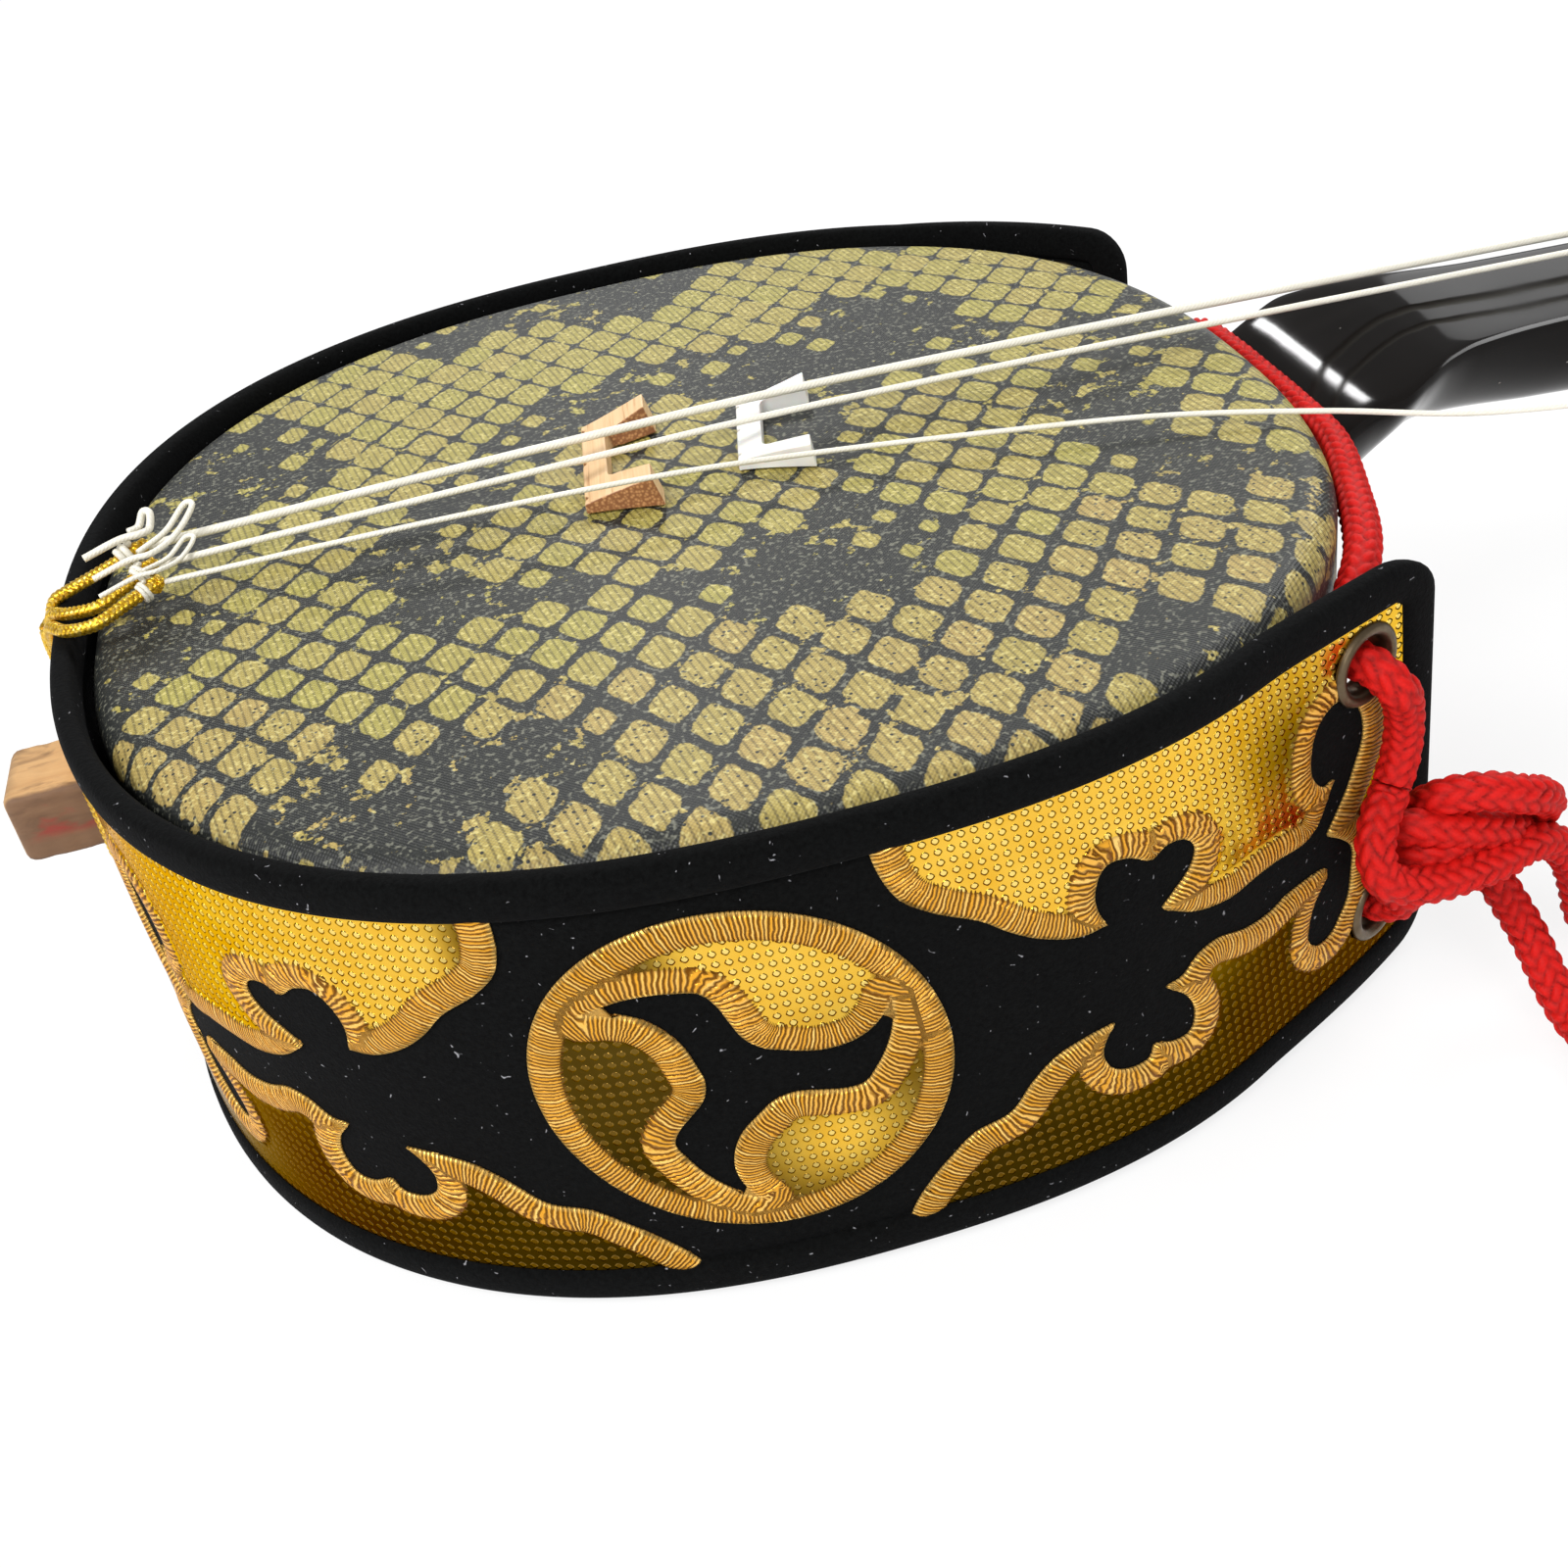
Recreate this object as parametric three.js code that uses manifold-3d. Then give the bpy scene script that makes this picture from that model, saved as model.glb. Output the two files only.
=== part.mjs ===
// Sanshin, an Okinawan three-string lute, in its cloth drum wrap with red lacing.
// Millimetres. +X runs along the neck to the head, +Z comes out of the front skin,
// +Y is the side of the thickest string. The origin is the centre of the back skin.
import * as THREE from 'three';
import { mergeVertices } from 'three/addons/utils/BufferGeometryUtils.js';
import Module from 'manifold-3d';

const wasm = await Module();
wasm.setup();

// Driving dimensions of the drum
const drumHalfLength = 93.8;
const drumHalfWidth = 96;
const drumSquareness = 2.38;
const drumDepth = 71.3;
const skinThickness = 0.9;
const skinEdgeRadius = 5;
const skinSkirt = 14;
const frameWall = 17;
const frameBelly = 5;

// Driving dimensions of the neck
const coreWidth = 16;
const coreHeight = 12.1;
const coreMiddle = 42.4;
const coreHeadHeight = 20;
const stubLength = 16.4;
const heelGap = 0.4;
const crestReach = 10.3;
const crestHeight = 65.6;
const bevelDrop = 6.4;
const faceRise = 4.4;
const riseLength = 20.5;
const faceFall = 16;
const neckLength = 455;
const crestHalfWidth = 22.7;
const neckHalfWidth = 14.6;
const nutHalfWidth = 12.4;
const neckThickness = 19.5;
const heelDepth = 33;
const pegboxLength = 80;
const pegboxHalfWidth = 15.5;
const pegboxDepth = 30;
const slotHalfWidth = 7.6;
const slotLength = 74;
const slotStart = 4.5;
const headReach = 35;
const headThickness = 7;
const headHalfWidth = 22;

// Driving dimensions of the wrap
const wrapSlackLength = 1;
const wrapSlackWidth = 0.9;
const wrapShift = -0.2;
const wrapBase = 0.2;
const wrapHeight = 72.6;
const pipingThickness = 3.8;
const pipingHeight = 6.2;
const pipingCorner = 4.2;
const bandThickness = 1.4;
const bandInset = 1.2;
const bandGap = 0.4;
const nearWingFlare = 10;
const farWingFlare = 7;
const crestRadius = 26.4;
const crestThickness = 0.8;

// Driving dimensions of strings, cords, pegs and bridges
const stringRadii = [0.7, 0.55, 0.43];
const nutSpacing = 7;
const nutHeight = 3;
const nutLength = 4.2;
const cordRadius = 2.75;
const pegRadius = 4.6;
const pegTaper = 0.6;
const pegSpacing = 24;
const knobLength = 47;
const knobRadius = 9;
const eyeletRadius = 6.1;
const eyeletBore = 4;

const touchGap = 0.3;
const cutOverrun = 5;
const halfTurn = Math.PI;
const fullTurn = 2 * halfTurn;
const degree = halfTurn / 180;

const sanshin = new THREE.Group();

function addPart(name, geometry, colour, roughness, metalness = 0) {
  const material = new THREE.MeshStandardMaterial({ color: colour, roughness, metalness });
  const mesh = new THREE.Mesh(geometry, material);
  mesh.name = name;
  sanshin.add(mesh);
  return mesh;
}

// A closed body from its points and triangles, with the faces turned outwards.
function body(points, faces) {
  let volume = 0;
  for (let i = 0; i < faces.length; i += 3) {
    const [a, b, c] = [points[faces[i]], points[faces[i + 1]], points[faces[i + 2]]];
    volume += a.dot(new THREE.Vector3().crossVectors(b, c));
  }
  if (volume < 0) faces.reverse();
  const geometry = new THREE.BufferGeometry();
  geometry.setAttribute('position', new THREE.Float32BufferAttribute(points.flatMap((p) => p.toArray()), 3));
  geometry.setIndex(faces);
  return geometry;
}

// A body through equal rings of points. Its ends are capped, or joined when it is a loop.
function loft(rings, isLoop = false) {
  const size = rings[0].length;
  const points = rings.flat();
  const faces = [];
  const spans = isLoop ? rings.length : rings.length - 1;
  for (let i = 0; i < spans; i++) {
    const here = i * size;
    const next = ((i + 1) % rings.length) * size;
    for (let j = 0; j < size; j++) {
      const k = (j + 1) % size;
      faces.push(here + j, here + k, next + k, here + j, next + k, next + j);
    }
  }
  if (!isLoop) {
    const last = (rings.length - 1) * size;
    for (const [start, isFirst] of [[0, true], [last, false]]) {
      const middle = new THREE.Vector3();
      for (let j = 0; j < size; j++) middle.addScaledVector(points[start + j], 1 / size);
      const hub = points.push(middle) - 1;
      for (let j = 0; j < size; j++) {
        const k = (j + 1) % size;
        if (isFirst) faces.push(start + k, start + j, hub);
        else faces.push(start + j, start + k, hub);
      }
    }
  }
  return body(points, faces);
}

function toSolid(geometry) {
  const bare = geometry.clone();
  bare.deleteAttribute('normal');
  bare.deleteAttribute('uv');
  const merged = mergeVertices(bare);
  const vertProperties = new Float32Array(merged.attributes.position.array);
  const triVerts = new Uint32Array(merged.index.array);
  return new wasm.Manifold(new wasm.Mesh({ numProp: 3, vertProperties, triVerts }));
}

function toGeometry(solid) {
  const mesh = solid.getMesh();
  const geometry = new THREE.BufferGeometry();
  geometry.setAttribute('position', new THREE.BufferAttribute(new Float32Array(mesh.vertProperties), 3));
  geometry.setIndex(new THREE.BufferAttribute(new Uint32Array(mesh.triVerts), 1));
  return geometry;
}

function cut(geometry, tools) {
  let solid = toSolid(geometry);
  for (const tool of tools) solid = solid.subtract(toSolid(tool));
  return toGeometry(solid);
}

function join(geometries) {
  let solid = toSolid(geometries[0]);
  for (const other of geometries.slice(1)) solid = solid.add(toSolid(other));
  return toGeometry(solid);
}

function block(low, high) {
  const size = new THREE.Vector3().subVectors(high, low);
  const middle = new THREE.Vector3().addVectors(low, high).multiplyScalar(1 / 2);
  return new THREE.BoxGeometry(size.x, size.y, size.z).translate(middle.x, middle.y, middle.z);
}

function polygon(radius, sides) {
  const points = [];
  for (let i = 0; i < sides; i++) {
    const angle = (i / sides) * fullTurn;
    points.push(new THREE.Vector2(radius * Math.cos(angle), radius * Math.sin(angle)));
  }
  return new THREE.Shape(points);
}

// A cord of one radius through its route's points
function cordAlong(route, radius, steps, sides = 8) {
  const path = new THREE.CatmullRomCurve3(route, false, 'centripetal');
  const settings = { steps, extrudePath: path, bevelEnabled: false };
  const tube = new THREE.ExtrudeGeometry(polygon(radius, sides), settings);
  tube.deleteAttribute('normal');
  tube.deleteAttribute('uv');
  const merged = mergeVertices(tube);
  const positions = merged.attributes.position;
  const points = [];
  for (let i = 0; i < positions.count; i++) points.push(new THREE.Vector3().fromBufferAttribute(positions, i));
  return body(points, Array.from(merged.index.array));
}

function at(x, y, z) {
  return new THREE.Vector3(x, y, z);
}

function mix(from, to, share) {
  return from + (to - from) * share;
}

// Radius of a rounded-square outline at a polar angle
function outlineRadius(halfLength, halfWidth, angle) {
  const alongShare = Math.abs(Math.cos(angle)) / halfLength;
  const acrossShare = Math.abs(Math.sin(angle)) / halfWidth;
  return (alongShare ** drumSquareness + acrossShare ** drumSquareness) ** (-1 / drumSquareness);
}

function drumPoint(angle, inset, height) {
  const radius = outlineRadius(drumHalfLength - inset, drumHalfWidth - inset, angle);
  return at(radius * Math.cos(angle), radius * Math.sin(angle), height);
}

// Skins: a flat face, a rounded edge and a skirt glued down the side of the frame
const skinSteps = 48;
const edgeSteps = 3;
function skinRing(inset, height, isFront) {
  const ring = [];
  for (let i = 0; i < skinSteps; i++) {
    const angle = (i / skinSteps) * fullTurn;
    ring.push(drumPoint(angle, inset, isFront ? drumDepth - height : height));
  }
  return ring;
}
function skin(isFront) {
  const rings = [];
  for (let i = 0; i <= edgeSteps; i++) {
    const turn = (i / edgeSteps) * (halfTurn / 2);
    const inset = skinEdgeRadius * (1 - Math.sin(turn));
    const height = skinEdgeRadius * (1 - Math.cos(turn));
    rings.push(skinRing(inset, height, isFront));
  }
  rings.push(skinRing(0, skinSkirt, isFront));
  rings.push(skinRing(skinThickness, skinSkirt, isFront));
  const innerRadius = skinEdgeRadius - skinThickness;
  for (let i = edgeSteps; i >= 0; i--) {
    const turn = (i / edgeSteps) * (halfTurn / 2);
    const inset = skinThickness + innerRadius * (1 - Math.sin(turn));
    const height = skinThickness + innerRadius * (1 - Math.cos(turn));
    rings.push(skinRing(inset, height, isFront));
  }
  return loft(rings);
}
addPart('front_skin', skin(true), '#7c7a4e', 0.45);
addPart('back_skin', skin(false), '#7c7a4e', 0.5);

// Four frame blocks, each a quarter of the ring, bellied inside
const frameSteps = 12;
const frameInset = skinThickness + touchGap;
const frameChamfer = skinEdgeRadius;
const jointGap = 0.2 * degree;
function frameSection(angle) {
  const top = drumDepth - frameInset;
  const middle = drumDepth / 2;
  return [
    drumPoint(angle, frameInset, frameInset + frameChamfer),
    drumPoint(angle, frameInset, middle),
    drumPoint(angle, frameInset, top - frameChamfer),
    drumPoint(angle, frameInset + frameChamfer, top),
    drumPoint(angle, frameWall, top),
    drumPoint(angle, frameWall + frameBelly, middle),
    drumPoint(angle, frameWall, frameInset),
    drumPoint(angle, frameInset + frameChamfer, frameInset),
  ];
}
function frameBlock(middleAngle) {
  const rings = [];
  for (let i = 0; i <= frameSteps; i++) {
    const sweep = halfTurn / 2 - 2 * jointGap;
    rings.push(frameSection(middleAngle + (i / frameSteps - 1 / 2) * sweep));
  }
  return loft(rings);
}

const coreHalfWidth = coreWidth / 2;
const coreBottom = coreMiddle - coreHeight / 2;
const coreTop = coreMiddle + coreHeight / 2;
const coreHeadTop = coreBottom + coreHeadHeight;
const wedgeThickness = 2.6;
const wedgeLength = frameWall;
const coreStep = drumHalfLength - frameWall - frameBelly - touchGap;
const throughHead = block(
  at(coreStep - cutOverrun, -coreHalfWidth - touchGap, coreBottom - wedgeThickness - 2 * touchGap),
  at(drumHalfLength + cutOverrun, coreHalfWidth + touchGap, coreHeadTop + touchGap));
const throughTail = block(
  at(-drumHalfLength - cutOverrun, -coreHalfWidth - touchGap, coreBottom - touchGap),
  at(-coreStep + cutOverrun, coreHalfWidth + touchGap, coreTop + touchGap));
addPart('frame_head', cut(frameBlock(0), [throughHead]), '#b58a5c', 0.7);
addPart('frame_far', frameBlock(halfTurn / 2), '#b58a5c', 0.7);
addPart('frame_tail', cut(frameBlock(halfTurn), [throughTail]), '#b58a5c', 0.7);
addPart('frame_near', frameBlock(-halfTurn / 2), '#b58a5c', 0.7);
addPart('core_wedge', block(
  at(drumHalfLength - frameInset - wedgeLength, -coreHalfWidth, coreBottom - wedgeThickness - touchGap),
  at(drumHalfLength - frameInset, coreHalfWidth, coreBottom - touchGap)), '#c9a070', 0.75);

// Neck: one loft from the heel to the tip of the head. A section has a nearly flat face
// and a rounded back. The crest stands where the face meets the bevel down to the drum.
const heelStart = drumHalfLength + heelGap;
const crestStation = heelStart + crestReach;
const riseStation = crestStation + riseLength;
const nutStation = drumHalfLength + neckLength;
const pegboxEnd = nutStation + pegboxLength;
const faceTop = crestHeight + faceRise;
const faceSlope = faceFall / (nutStation - riseStation);
function faceHeight(x) {
  return faceTop - faceSlope * (x - riseStation);
}
const sectionSides = 24;
const faceFlatness = 7;
const crownShare = 0.06;
function neckSection({ x, top, halfWidth, depth, belly, pitch = 0 }) {
  const ring = [];
  const crown = halfWidth * crownShare;
  for (let i = 0; i < sectionSides; i++) {
    const angle = ((i + 1 / 2) / sectionSides) * fullTurn;
    const [c, s] = [Math.cos(angle), Math.sin(angle)];
    const power = 2 / (s > 0 ? faceFlatness : belly);
    const across = halfWidth * Math.sign(c) * Math.abs(c) ** power;
    const down = s > 0 ? crown * (1 - s ** power) : crown + (depth - crown) * (-s) ** power;
    ring.push(at(x - down * Math.sin(pitch), across, top - down * Math.cos(pitch)));
  }
  return ring;
}

// Stations down the neck: share of the way between two named places, and shares of sizes
const flareShares = [
  { share: 0, width: 0.99, depth: 1, belly: 1.3 },
  { share: 0.25, width: 1.04, depth: 0.95, belly: 1.28 },
  { share: 0.5, width: 0.95, depth: 0.86, belly: 1.35 },
  { share: 0.75, width: 0.84, depth: 0.76, belly: 1.5 },
  { share: 1, width: 0.77, depth: 0.68, belly: 1.7 },
];
const stations = [];
stations.push({ x: heelStart, top: crestHeight - bevelDrop, halfWidth: crestHalfWidth, depth: heelDepth, belly: 1.35 });
for (const { share, width, depth, belly } of flareShares) {
  const x = mix(crestStation, riseStation, share);
  const top = mix(crestHeight, faceTop, Math.sin(share * halfTurn / 2));
  stations.push({ x, top, halfWidth: crestHalfWidth * width, depth: heelDepth * depth, belly });
}
const shaftShares = [0.04, 0.09, 0.2, 0.4, 0.6, 0.8, 0.94, 1];
for (const share of shaftShares) {
  const x = mix(riseStation, nutStation, share);
  const flare = 0.1 * Math.exp(-share / 0.04);
  const halfWidth = mix(neckHalfWidth, nutHalfWidth, share) * (1 + flare);
  stations.push({ x, top: faceHeight(x), halfWidth, depth: neckThickness * (1 + flare), belly: 2.1 });
}
const pegboxShares = [
  { share: 0.09, width: 0.93, depth: 0.8 },
  { share: 0.2, width: 1, depth: 1 },
  { share: 0.6, width: 0.98, depth: 1 },
  { share: 1, width: 0.86, depth: 0.9 },
];
for (const { share, width, depth } of pegboxShares) {
  const x = mix(nutStation, pegboxEnd, share);
  const halfWidth = pegboxHalfWidth * width;
  stations.push({ x, top: faceHeight(x), halfWidth, depth: pegboxDepth * depth, belly: 4 });
}
// The head bends back in an arc until its tip lies level with the back skin.
const headTop = faceHeight(pegboxEnd);
const headShares = [
  { turn: 0.12, width: 0.62, thickness: 3.1 },
  { turn: 0.3, width: 0.66, thickness: 2.2 },
  { turn: 0.5, width: 0.8, thickness: 1.6 },
  { turn: 0.7, width: 0.95, thickness: 1.2 },
  { turn: 0.85, width: 1, thickness: 1 },
  { turn: 0.95, width: 0.85, thickness: 0.8 },
  { turn: 1, width: 0.5, thickness: 0.5 },
];
const headLeanShare = 0.8;
const tipThickness = headThickness * headShares[headShares.length - 1].thickness;
const tipTop = tipThickness * Math.cos(headLeanShare * halfTurn / 2);
for (const { turn, width, thickness } of headShares) {
  const bend = turn * (halfTurn / 2);
  const x = pegboxEnd + headReach * Math.sin(bend);
  const top = mix(tipTop, headTop, Math.cos(bend));
  const depth = headThickness * thickness;
  stations.push({ x, top, halfWidth: headHalfWidth * width, depth, belly: 3, pitch: bend * headLeanShare });
}
const neckLoft = loft(stations.map(neckSection));
const coreStick = block(
  at(-drumHalfLength - wrapSlackLength - pipingThickness - stubLength, -coreHalfWidth, coreBottom),
  at(heelStart + crestReach / 2, coreHalfWidth, coreTop));
const coreHead = block(
  at(coreStep, -coreHalfWidth, coreBottom),
  at(heelStart + crestReach / 2, coreHalfWidth, coreHeadTop));

// Pegs turn in tapered bores through the pegbox cheeks, knobs on alternating sides.
const pegDrop = 13.5;
const pegPlaces = [0, 1, 2].map((i) => {
  const x = nutStation + slotStart + pegSpacing * (i + 1 / 2);
  return { x, z: faceHeight(x) - pegDrop, side: i === 1 ? -1 : 1 };
});
const pegTip = pegboxHalfWidth + 3;
const shaftStart = pegboxHalfWidth + 4;
const pegSides = 20;
function pegRing(place, reach, radius, fluting = 0) {
  const ring = [];
  for (let i = 0; i < pegSides; i++) {
    const angle = (i / pegSides) * fullTurn;
    const r = radius * (1 + fluting * Math.cos(5 * angle));
    ring.push(at(place.x + r * Math.cos(angle), place.side * reach, place.z + r * Math.sin(angle)));
  }
  return ring;
}
const pegClearance = 0.25;
function pegBore(place) {
  return loft([
    pegRing(place, -pegTip - cutOverrun, pegRadius - pegTaper + pegClearance),
    pegRing(place, shaftStart + cutOverrun, pegRadius + pegClearance),
  ]);
}
const slot = block(
  at(nutStation + slotStart, -slotHalfWidth, -cutOverrun),
  at(nutStation + slotStart + slotLength, slotHalfWidth, faceTop + cutOverrun));
const neck = cut(join([neckLoft, coreStick, coreHead]), [slot, ...pegPlaces.map(pegBore)]);
addPart('neck', neck, '#0c0c0d', 0.12);

const knobShares = [
  { along: 0, radius: 0.62, fluting: 0 },
  { along: 0.06, radius: 0.72, fluting: 0 },
  { along: 0.14, radius: 0.5, fluting: 0 },
  { along: 0.3, radius: 0.72, fluting: 0.1 },
  { along: 0.6, radius: 0.95, fluting: 0.1 },
  { along: 0.86, radius: 1, fluting: 0.1 },
  { along: 0.96, radius: 0.8, fluting: 0.08 },
  { along: 1, radius: 0.4, fluting: 0 },
];
pegPlaces.forEach((place, i) => {
  const rings = [
    pegRing(place, -pegTip, pegRadius - pegTaper),
    pegRing(place, shaftStart, pegRadius),
    ...knobShares.map(({ along, radius, fluting }) =>
      pegRing(place, shaftStart + knobLength * along, knobRadius * radius, fluting)),
  ];
  addPart(`peg_${i + 1}`, loft(rings), '#15110f', 0.25);
});

// Nut: a bone saddle across the face, with three notches
const nutBase = faceHeight(nutStation) + touchGap;
const nutShape = new THREE.Shape();
const nutOverhang = 0.5;
const nutHalf = nutHalfWidth - nutOverhang;
nutShape.moveTo(-nutHalf, 0);
nutShape.lineTo(nutHalf, 0);
nutShape.lineTo(nutHalf - nutHeight / 2, nutHeight);
for (const [i, side] of [[0, 1], [1, 0], [2, -1]]) {
  const middle = side * nutSpacing;
  const notch = 2 * stringRadii[i];
  nutShape.lineTo(middle + notch, nutHeight);
  nutShape.lineTo(middle, nutHeight - notch / 2);
  nutShape.lineTo(middle - notch, nutHeight);
}
nutShape.lineTo(-nutHalf + nutHeight / 2, nutHeight);
const nutBar = new THREE.ExtrudeGeometry(nutShape, { depth: nutLength, bevelEnabled: false, steps: 1 });
nutBar.rotateX(halfTurn / 2);
nutBar.rotateZ(halfTurn / 2);
nutBar.translate(nutStation - nutLength, 0, nutBase);
addPart('nut', nutBar, '#e9e2cf', 0.4);

// Wrap: a stiff band round the drum side, open at the neck. Its near wing stands off the
// drum where the cord pulls it. A place on it is a distance along it and a height.
const wrapHalfLength = drumHalfLength + wrapSlackLength + pipingThickness;
const wrapHalfWidth = drumHalfWidth + wrapSlackWidth + pipingThickness;
const nearEndTop = -40.5 * degree;
const nearEndBase = -35 * degree;
const flareStart = -57 * degree;
const farFlareStart = -305 * degree;
const farEnd = -330.3 * degree;
const flarePower = 1.7;
const wrapLength = (nearEndTop - farEnd) * (wrapHalfLength + wrapHalfWidth) / 2 * 1.03;
function wrapPoint(along, inset, height) {
  const nearEnd = mix(nearEndBase, nearEndTop, height / wrapHeight);
  const angle = mix(nearEnd, farEnd, along / wrapLength);
  const nearLift = Math.max(0, (angle - flareStart) / (nearEnd - flareStart)) ** flarePower * nearWingFlare;
  const farLift = Math.max(0, (angle - farFlareStart) / (farEnd - farFlareStart)) * farWingFlare;
  const radius = outlineRadius(wrapHalfLength - inset, wrapHalfWidth - inset, angle) + nearLift + farLift;
  return at(wrapShift + radius * Math.cos(angle), radius * Math.sin(angle), wrapBase + height);
}
function alongAtAngle(angle, height) {
  const nearEnd = mix(nearEndBase, nearEndTop, height / wrapHeight);
  return wrapLength * (angle - nearEnd) / (farEnd - nearEnd);
}
const wrapSteps = 46;
function wrapSlab(from, to, low, high, outer, thickness, steps) {
  const rings = [];
  for (let i = 0; i <= steps; i++) {
    const along = mix(from, to, i / steps);
    const middle = (low + high) / 2;
    rings.push([
      wrapPoint(along, outer, low),
      wrapPoint(along, outer, middle),
      wrapPoint(along, outer, high),
      wrapPoint(along, outer + thickness, high),
      wrapPoint(along, outer + thickness, middle),
      wrapPoint(along, outer + thickness, low),
    ]);
  }
  return loft(rings);
}
// Where the surface of the band points at a place on it
function wrapFacing(along, height) {
  const probe = 1 / 2;
  const ahead = wrapPoint(along + probe, 0, height);
  const behind = wrapPoint(along - probe, 0, height);
  const run = new THREE.Vector3().subVectors(ahead, behind).normalize();
  return new THREE.Vector3().crossVectors(run, at(0, 0, -1)).normalize();
}

const eyeletSetback = pipingHeight + touchGap + eyeletRadius;
const eyeletHeights = [15.1, wrapHeight - eyeletSetback];
const eyelets = [];
for (const [wing, along, toEnd] of [['near', eyeletSetback, -1], ['far', wrapLength - eyeletSetback, 1]]) {
  eyeletHeights.forEach((height, i) => {
    const place = wrapPoint(along, bandInset, height);
    const facing = wrapFacing(along, height);
    const run = new THREE.Vector3().crossVectors(facing, at(0, 0, toEnd));
    eyelets.push({ name: `eyelet_${wing}_${i === 0 ? 'bottom' : 'top'}`, along, height, place, facing, run });
  });
}
function facingTurn(facing) {
  return new THREE.Quaternion().setFromUnitVectors(at(0, 1, 0), facing);
}
const eyeletWall = 0.6;
const eyeletFlange = 0.9;
const eyeletSeat = 0.5;
const eyeletSides = 16;
function eyeletGeometry({ place, facing }) {
  const back = -bandThickness - eyeletSeat - eyeletFlange;
  const front = eyeletSeat + eyeletFlange;
  const profile = [
    [eyeletBore, back],
    [eyeletRadius, back],
    [eyeletRadius, back + eyeletFlange],
    [eyeletBore + eyeletWall, back + eyeletFlange],
    [eyeletBore + eyeletWall, eyeletSeat],
    [eyeletRadius, eyeletSeat],
    [eyeletRadius - eyeletFlange, front],
    [eyeletBore + eyeletWall / 2, front],
    [eyeletBore, eyeletSeat],
  ];
  const points = profile.concat([profile[0]]).map(([r, y]) => new THREE.Vector2(r, y));
  const ring = new THREE.LatheGeometry(points, eyeletSides);
  const bare = ring.deleteAttribute('normal').deleteAttribute('uv');
  const merged = mergeVertices(bare);
  merged.applyQuaternion(facingTurn(facing)).translate(place.x, place.y, place.z);
  return merged;
}
function eyeletHole({ place, facing }) {
  const radius = eyeletBore + eyeletWall + touchGap;
  const hole = new THREE.CylinderGeometry(radius, radius, 2 * cutOverrun, eyeletSides);
  return hole.applyQuaternion(facingTurn(facing)).translate(place.x, place.y, place.z);
}
const stubHole = block(
  at(-wrapHalfLength - cutOverrun, -coreHalfWidth - 2 * touchGap, coreBottom - 2 * touchGap),
  at(-drumHalfLength + cutOverrun, coreHalfWidth + 2 * touchGap, coreTop + 2 * touchGap));
const bandEdge = pipingHeight + bandGap;
const bandSlab = wrapSlab(
  bandEdge, wrapLength - bandEdge, bandEdge, wrapHeight - bandEdge, bandInset, bandThickness, wrapSteps);
addPart('wrap_band', cut(bandSlab, [stubHole, ...eyelets.map(eyeletHole)]), '#15161a', 0.95);
for (const eyelet of eyelets) addPart(eyelet.name, eyeletGeometry(eyelet), '#7a6a52', 0.45, 0.8);

// Piping: one padded binding sewn round the whole edge of the band
const pipingHalf = pipingHeight / 2;
const pipingSection = [
  [1, 0.3], [0.7, 0], [-0.7, 0], [-1, 0.3], [-1, 0.7], [-0.7, 1], [0.7, 1], [1, 0.7],
];
const cornerSteps = 3;
function pipingStation(along, height, run, rise) {
  return pipingSection.map(([outShare, inShare]) => {
    const out = outShare * pipingHalf;
    return wrapPoint(along + out * run, inShare * pipingThickness, height + out * rise);
  });
}
const pipingRings = [];
const corners = [
  { along: wrapLength - pipingHalf - pipingCorner, height: wrapHeight - pipingHalf - pipingCorner, start: halfTurn / 2 },
  { along: wrapLength - pipingHalf - pipingCorner, height: pipingHalf + pipingCorner, start: 0 },
  { along: pipingHalf + pipingCorner, height: pipingHalf + pipingCorner, start: -halfTurn / 2 },
  { along: pipingHalf + pipingCorner, height: wrapHeight - pipingHalf - pipingCorner, start: -halfTurn },
];
corners.forEach((corner, i) => {
  for (let j = 0; j <= cornerSteps; j++) {
    const turn = corner.start - (j / cornerSteps) * (halfTurn / 2);
    const [run, rise] = [Math.cos(turn), Math.sin(turn)];
    pipingRings.push(pipingStation(
      corner.along + pipingCorner * run, corner.height + pipingCorner * rise, run, rise));
  }
  const next = corners[(i + 1) % corners.length];
  const turn = corner.start - halfTurn / 2;
  const [run, rise] = [Math.cos(turn), Math.sin(turn)];
  const steps = i % 2 === 0 ? 3 : wrapSteps;
  for (let j = 1; j < steps; j++) {
    const along = mix(corner.along, next.along, j / steps) + pipingCorner * run;
    const height = mix(corner.height, next.height, j / steps) + pipingCorner * rise;
    pipingRings.push(pipingStation(along, height, run, rise));
  }
});
addPart('wrap_piping', loft(pipingRings, true), '#111214', 0.95);

// Crests: a disc of padded gold cloth, cut through along the gap between its three commas.
// One side of a gap: its turn in degrees and its share of the crest's radius.
const crestSides = 36;
const commaCount = 3;
const gapShares = [
  [20, 0.823], [15, 0.74], [10, 0.626], [8, 0.51], [11, 0.37], [28, 0.249], [55, 0.2], [80, 0.249],
  [89, 0.362], [93, 0.475], [98, 0.566], [108, 0.619], [118, 0.679], [128, 0.743], [138, 0.808],
];
function gapShape(radius) {
  const points = [];
  for (let i = 0; i < commaCount; i++) {
    for (const [turn, reachShare] of gapShares) {
      const angle = turn * degree + (i / commaCount) * fullTurn;
      points.push(new THREE.Vector2(radius * reachShare * Math.cos(angle), radius * reachShare * Math.sin(angle)));
    }
  }
  return new THREE.Path(points);
}
const crestHeightMiddle = 37.2;
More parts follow.
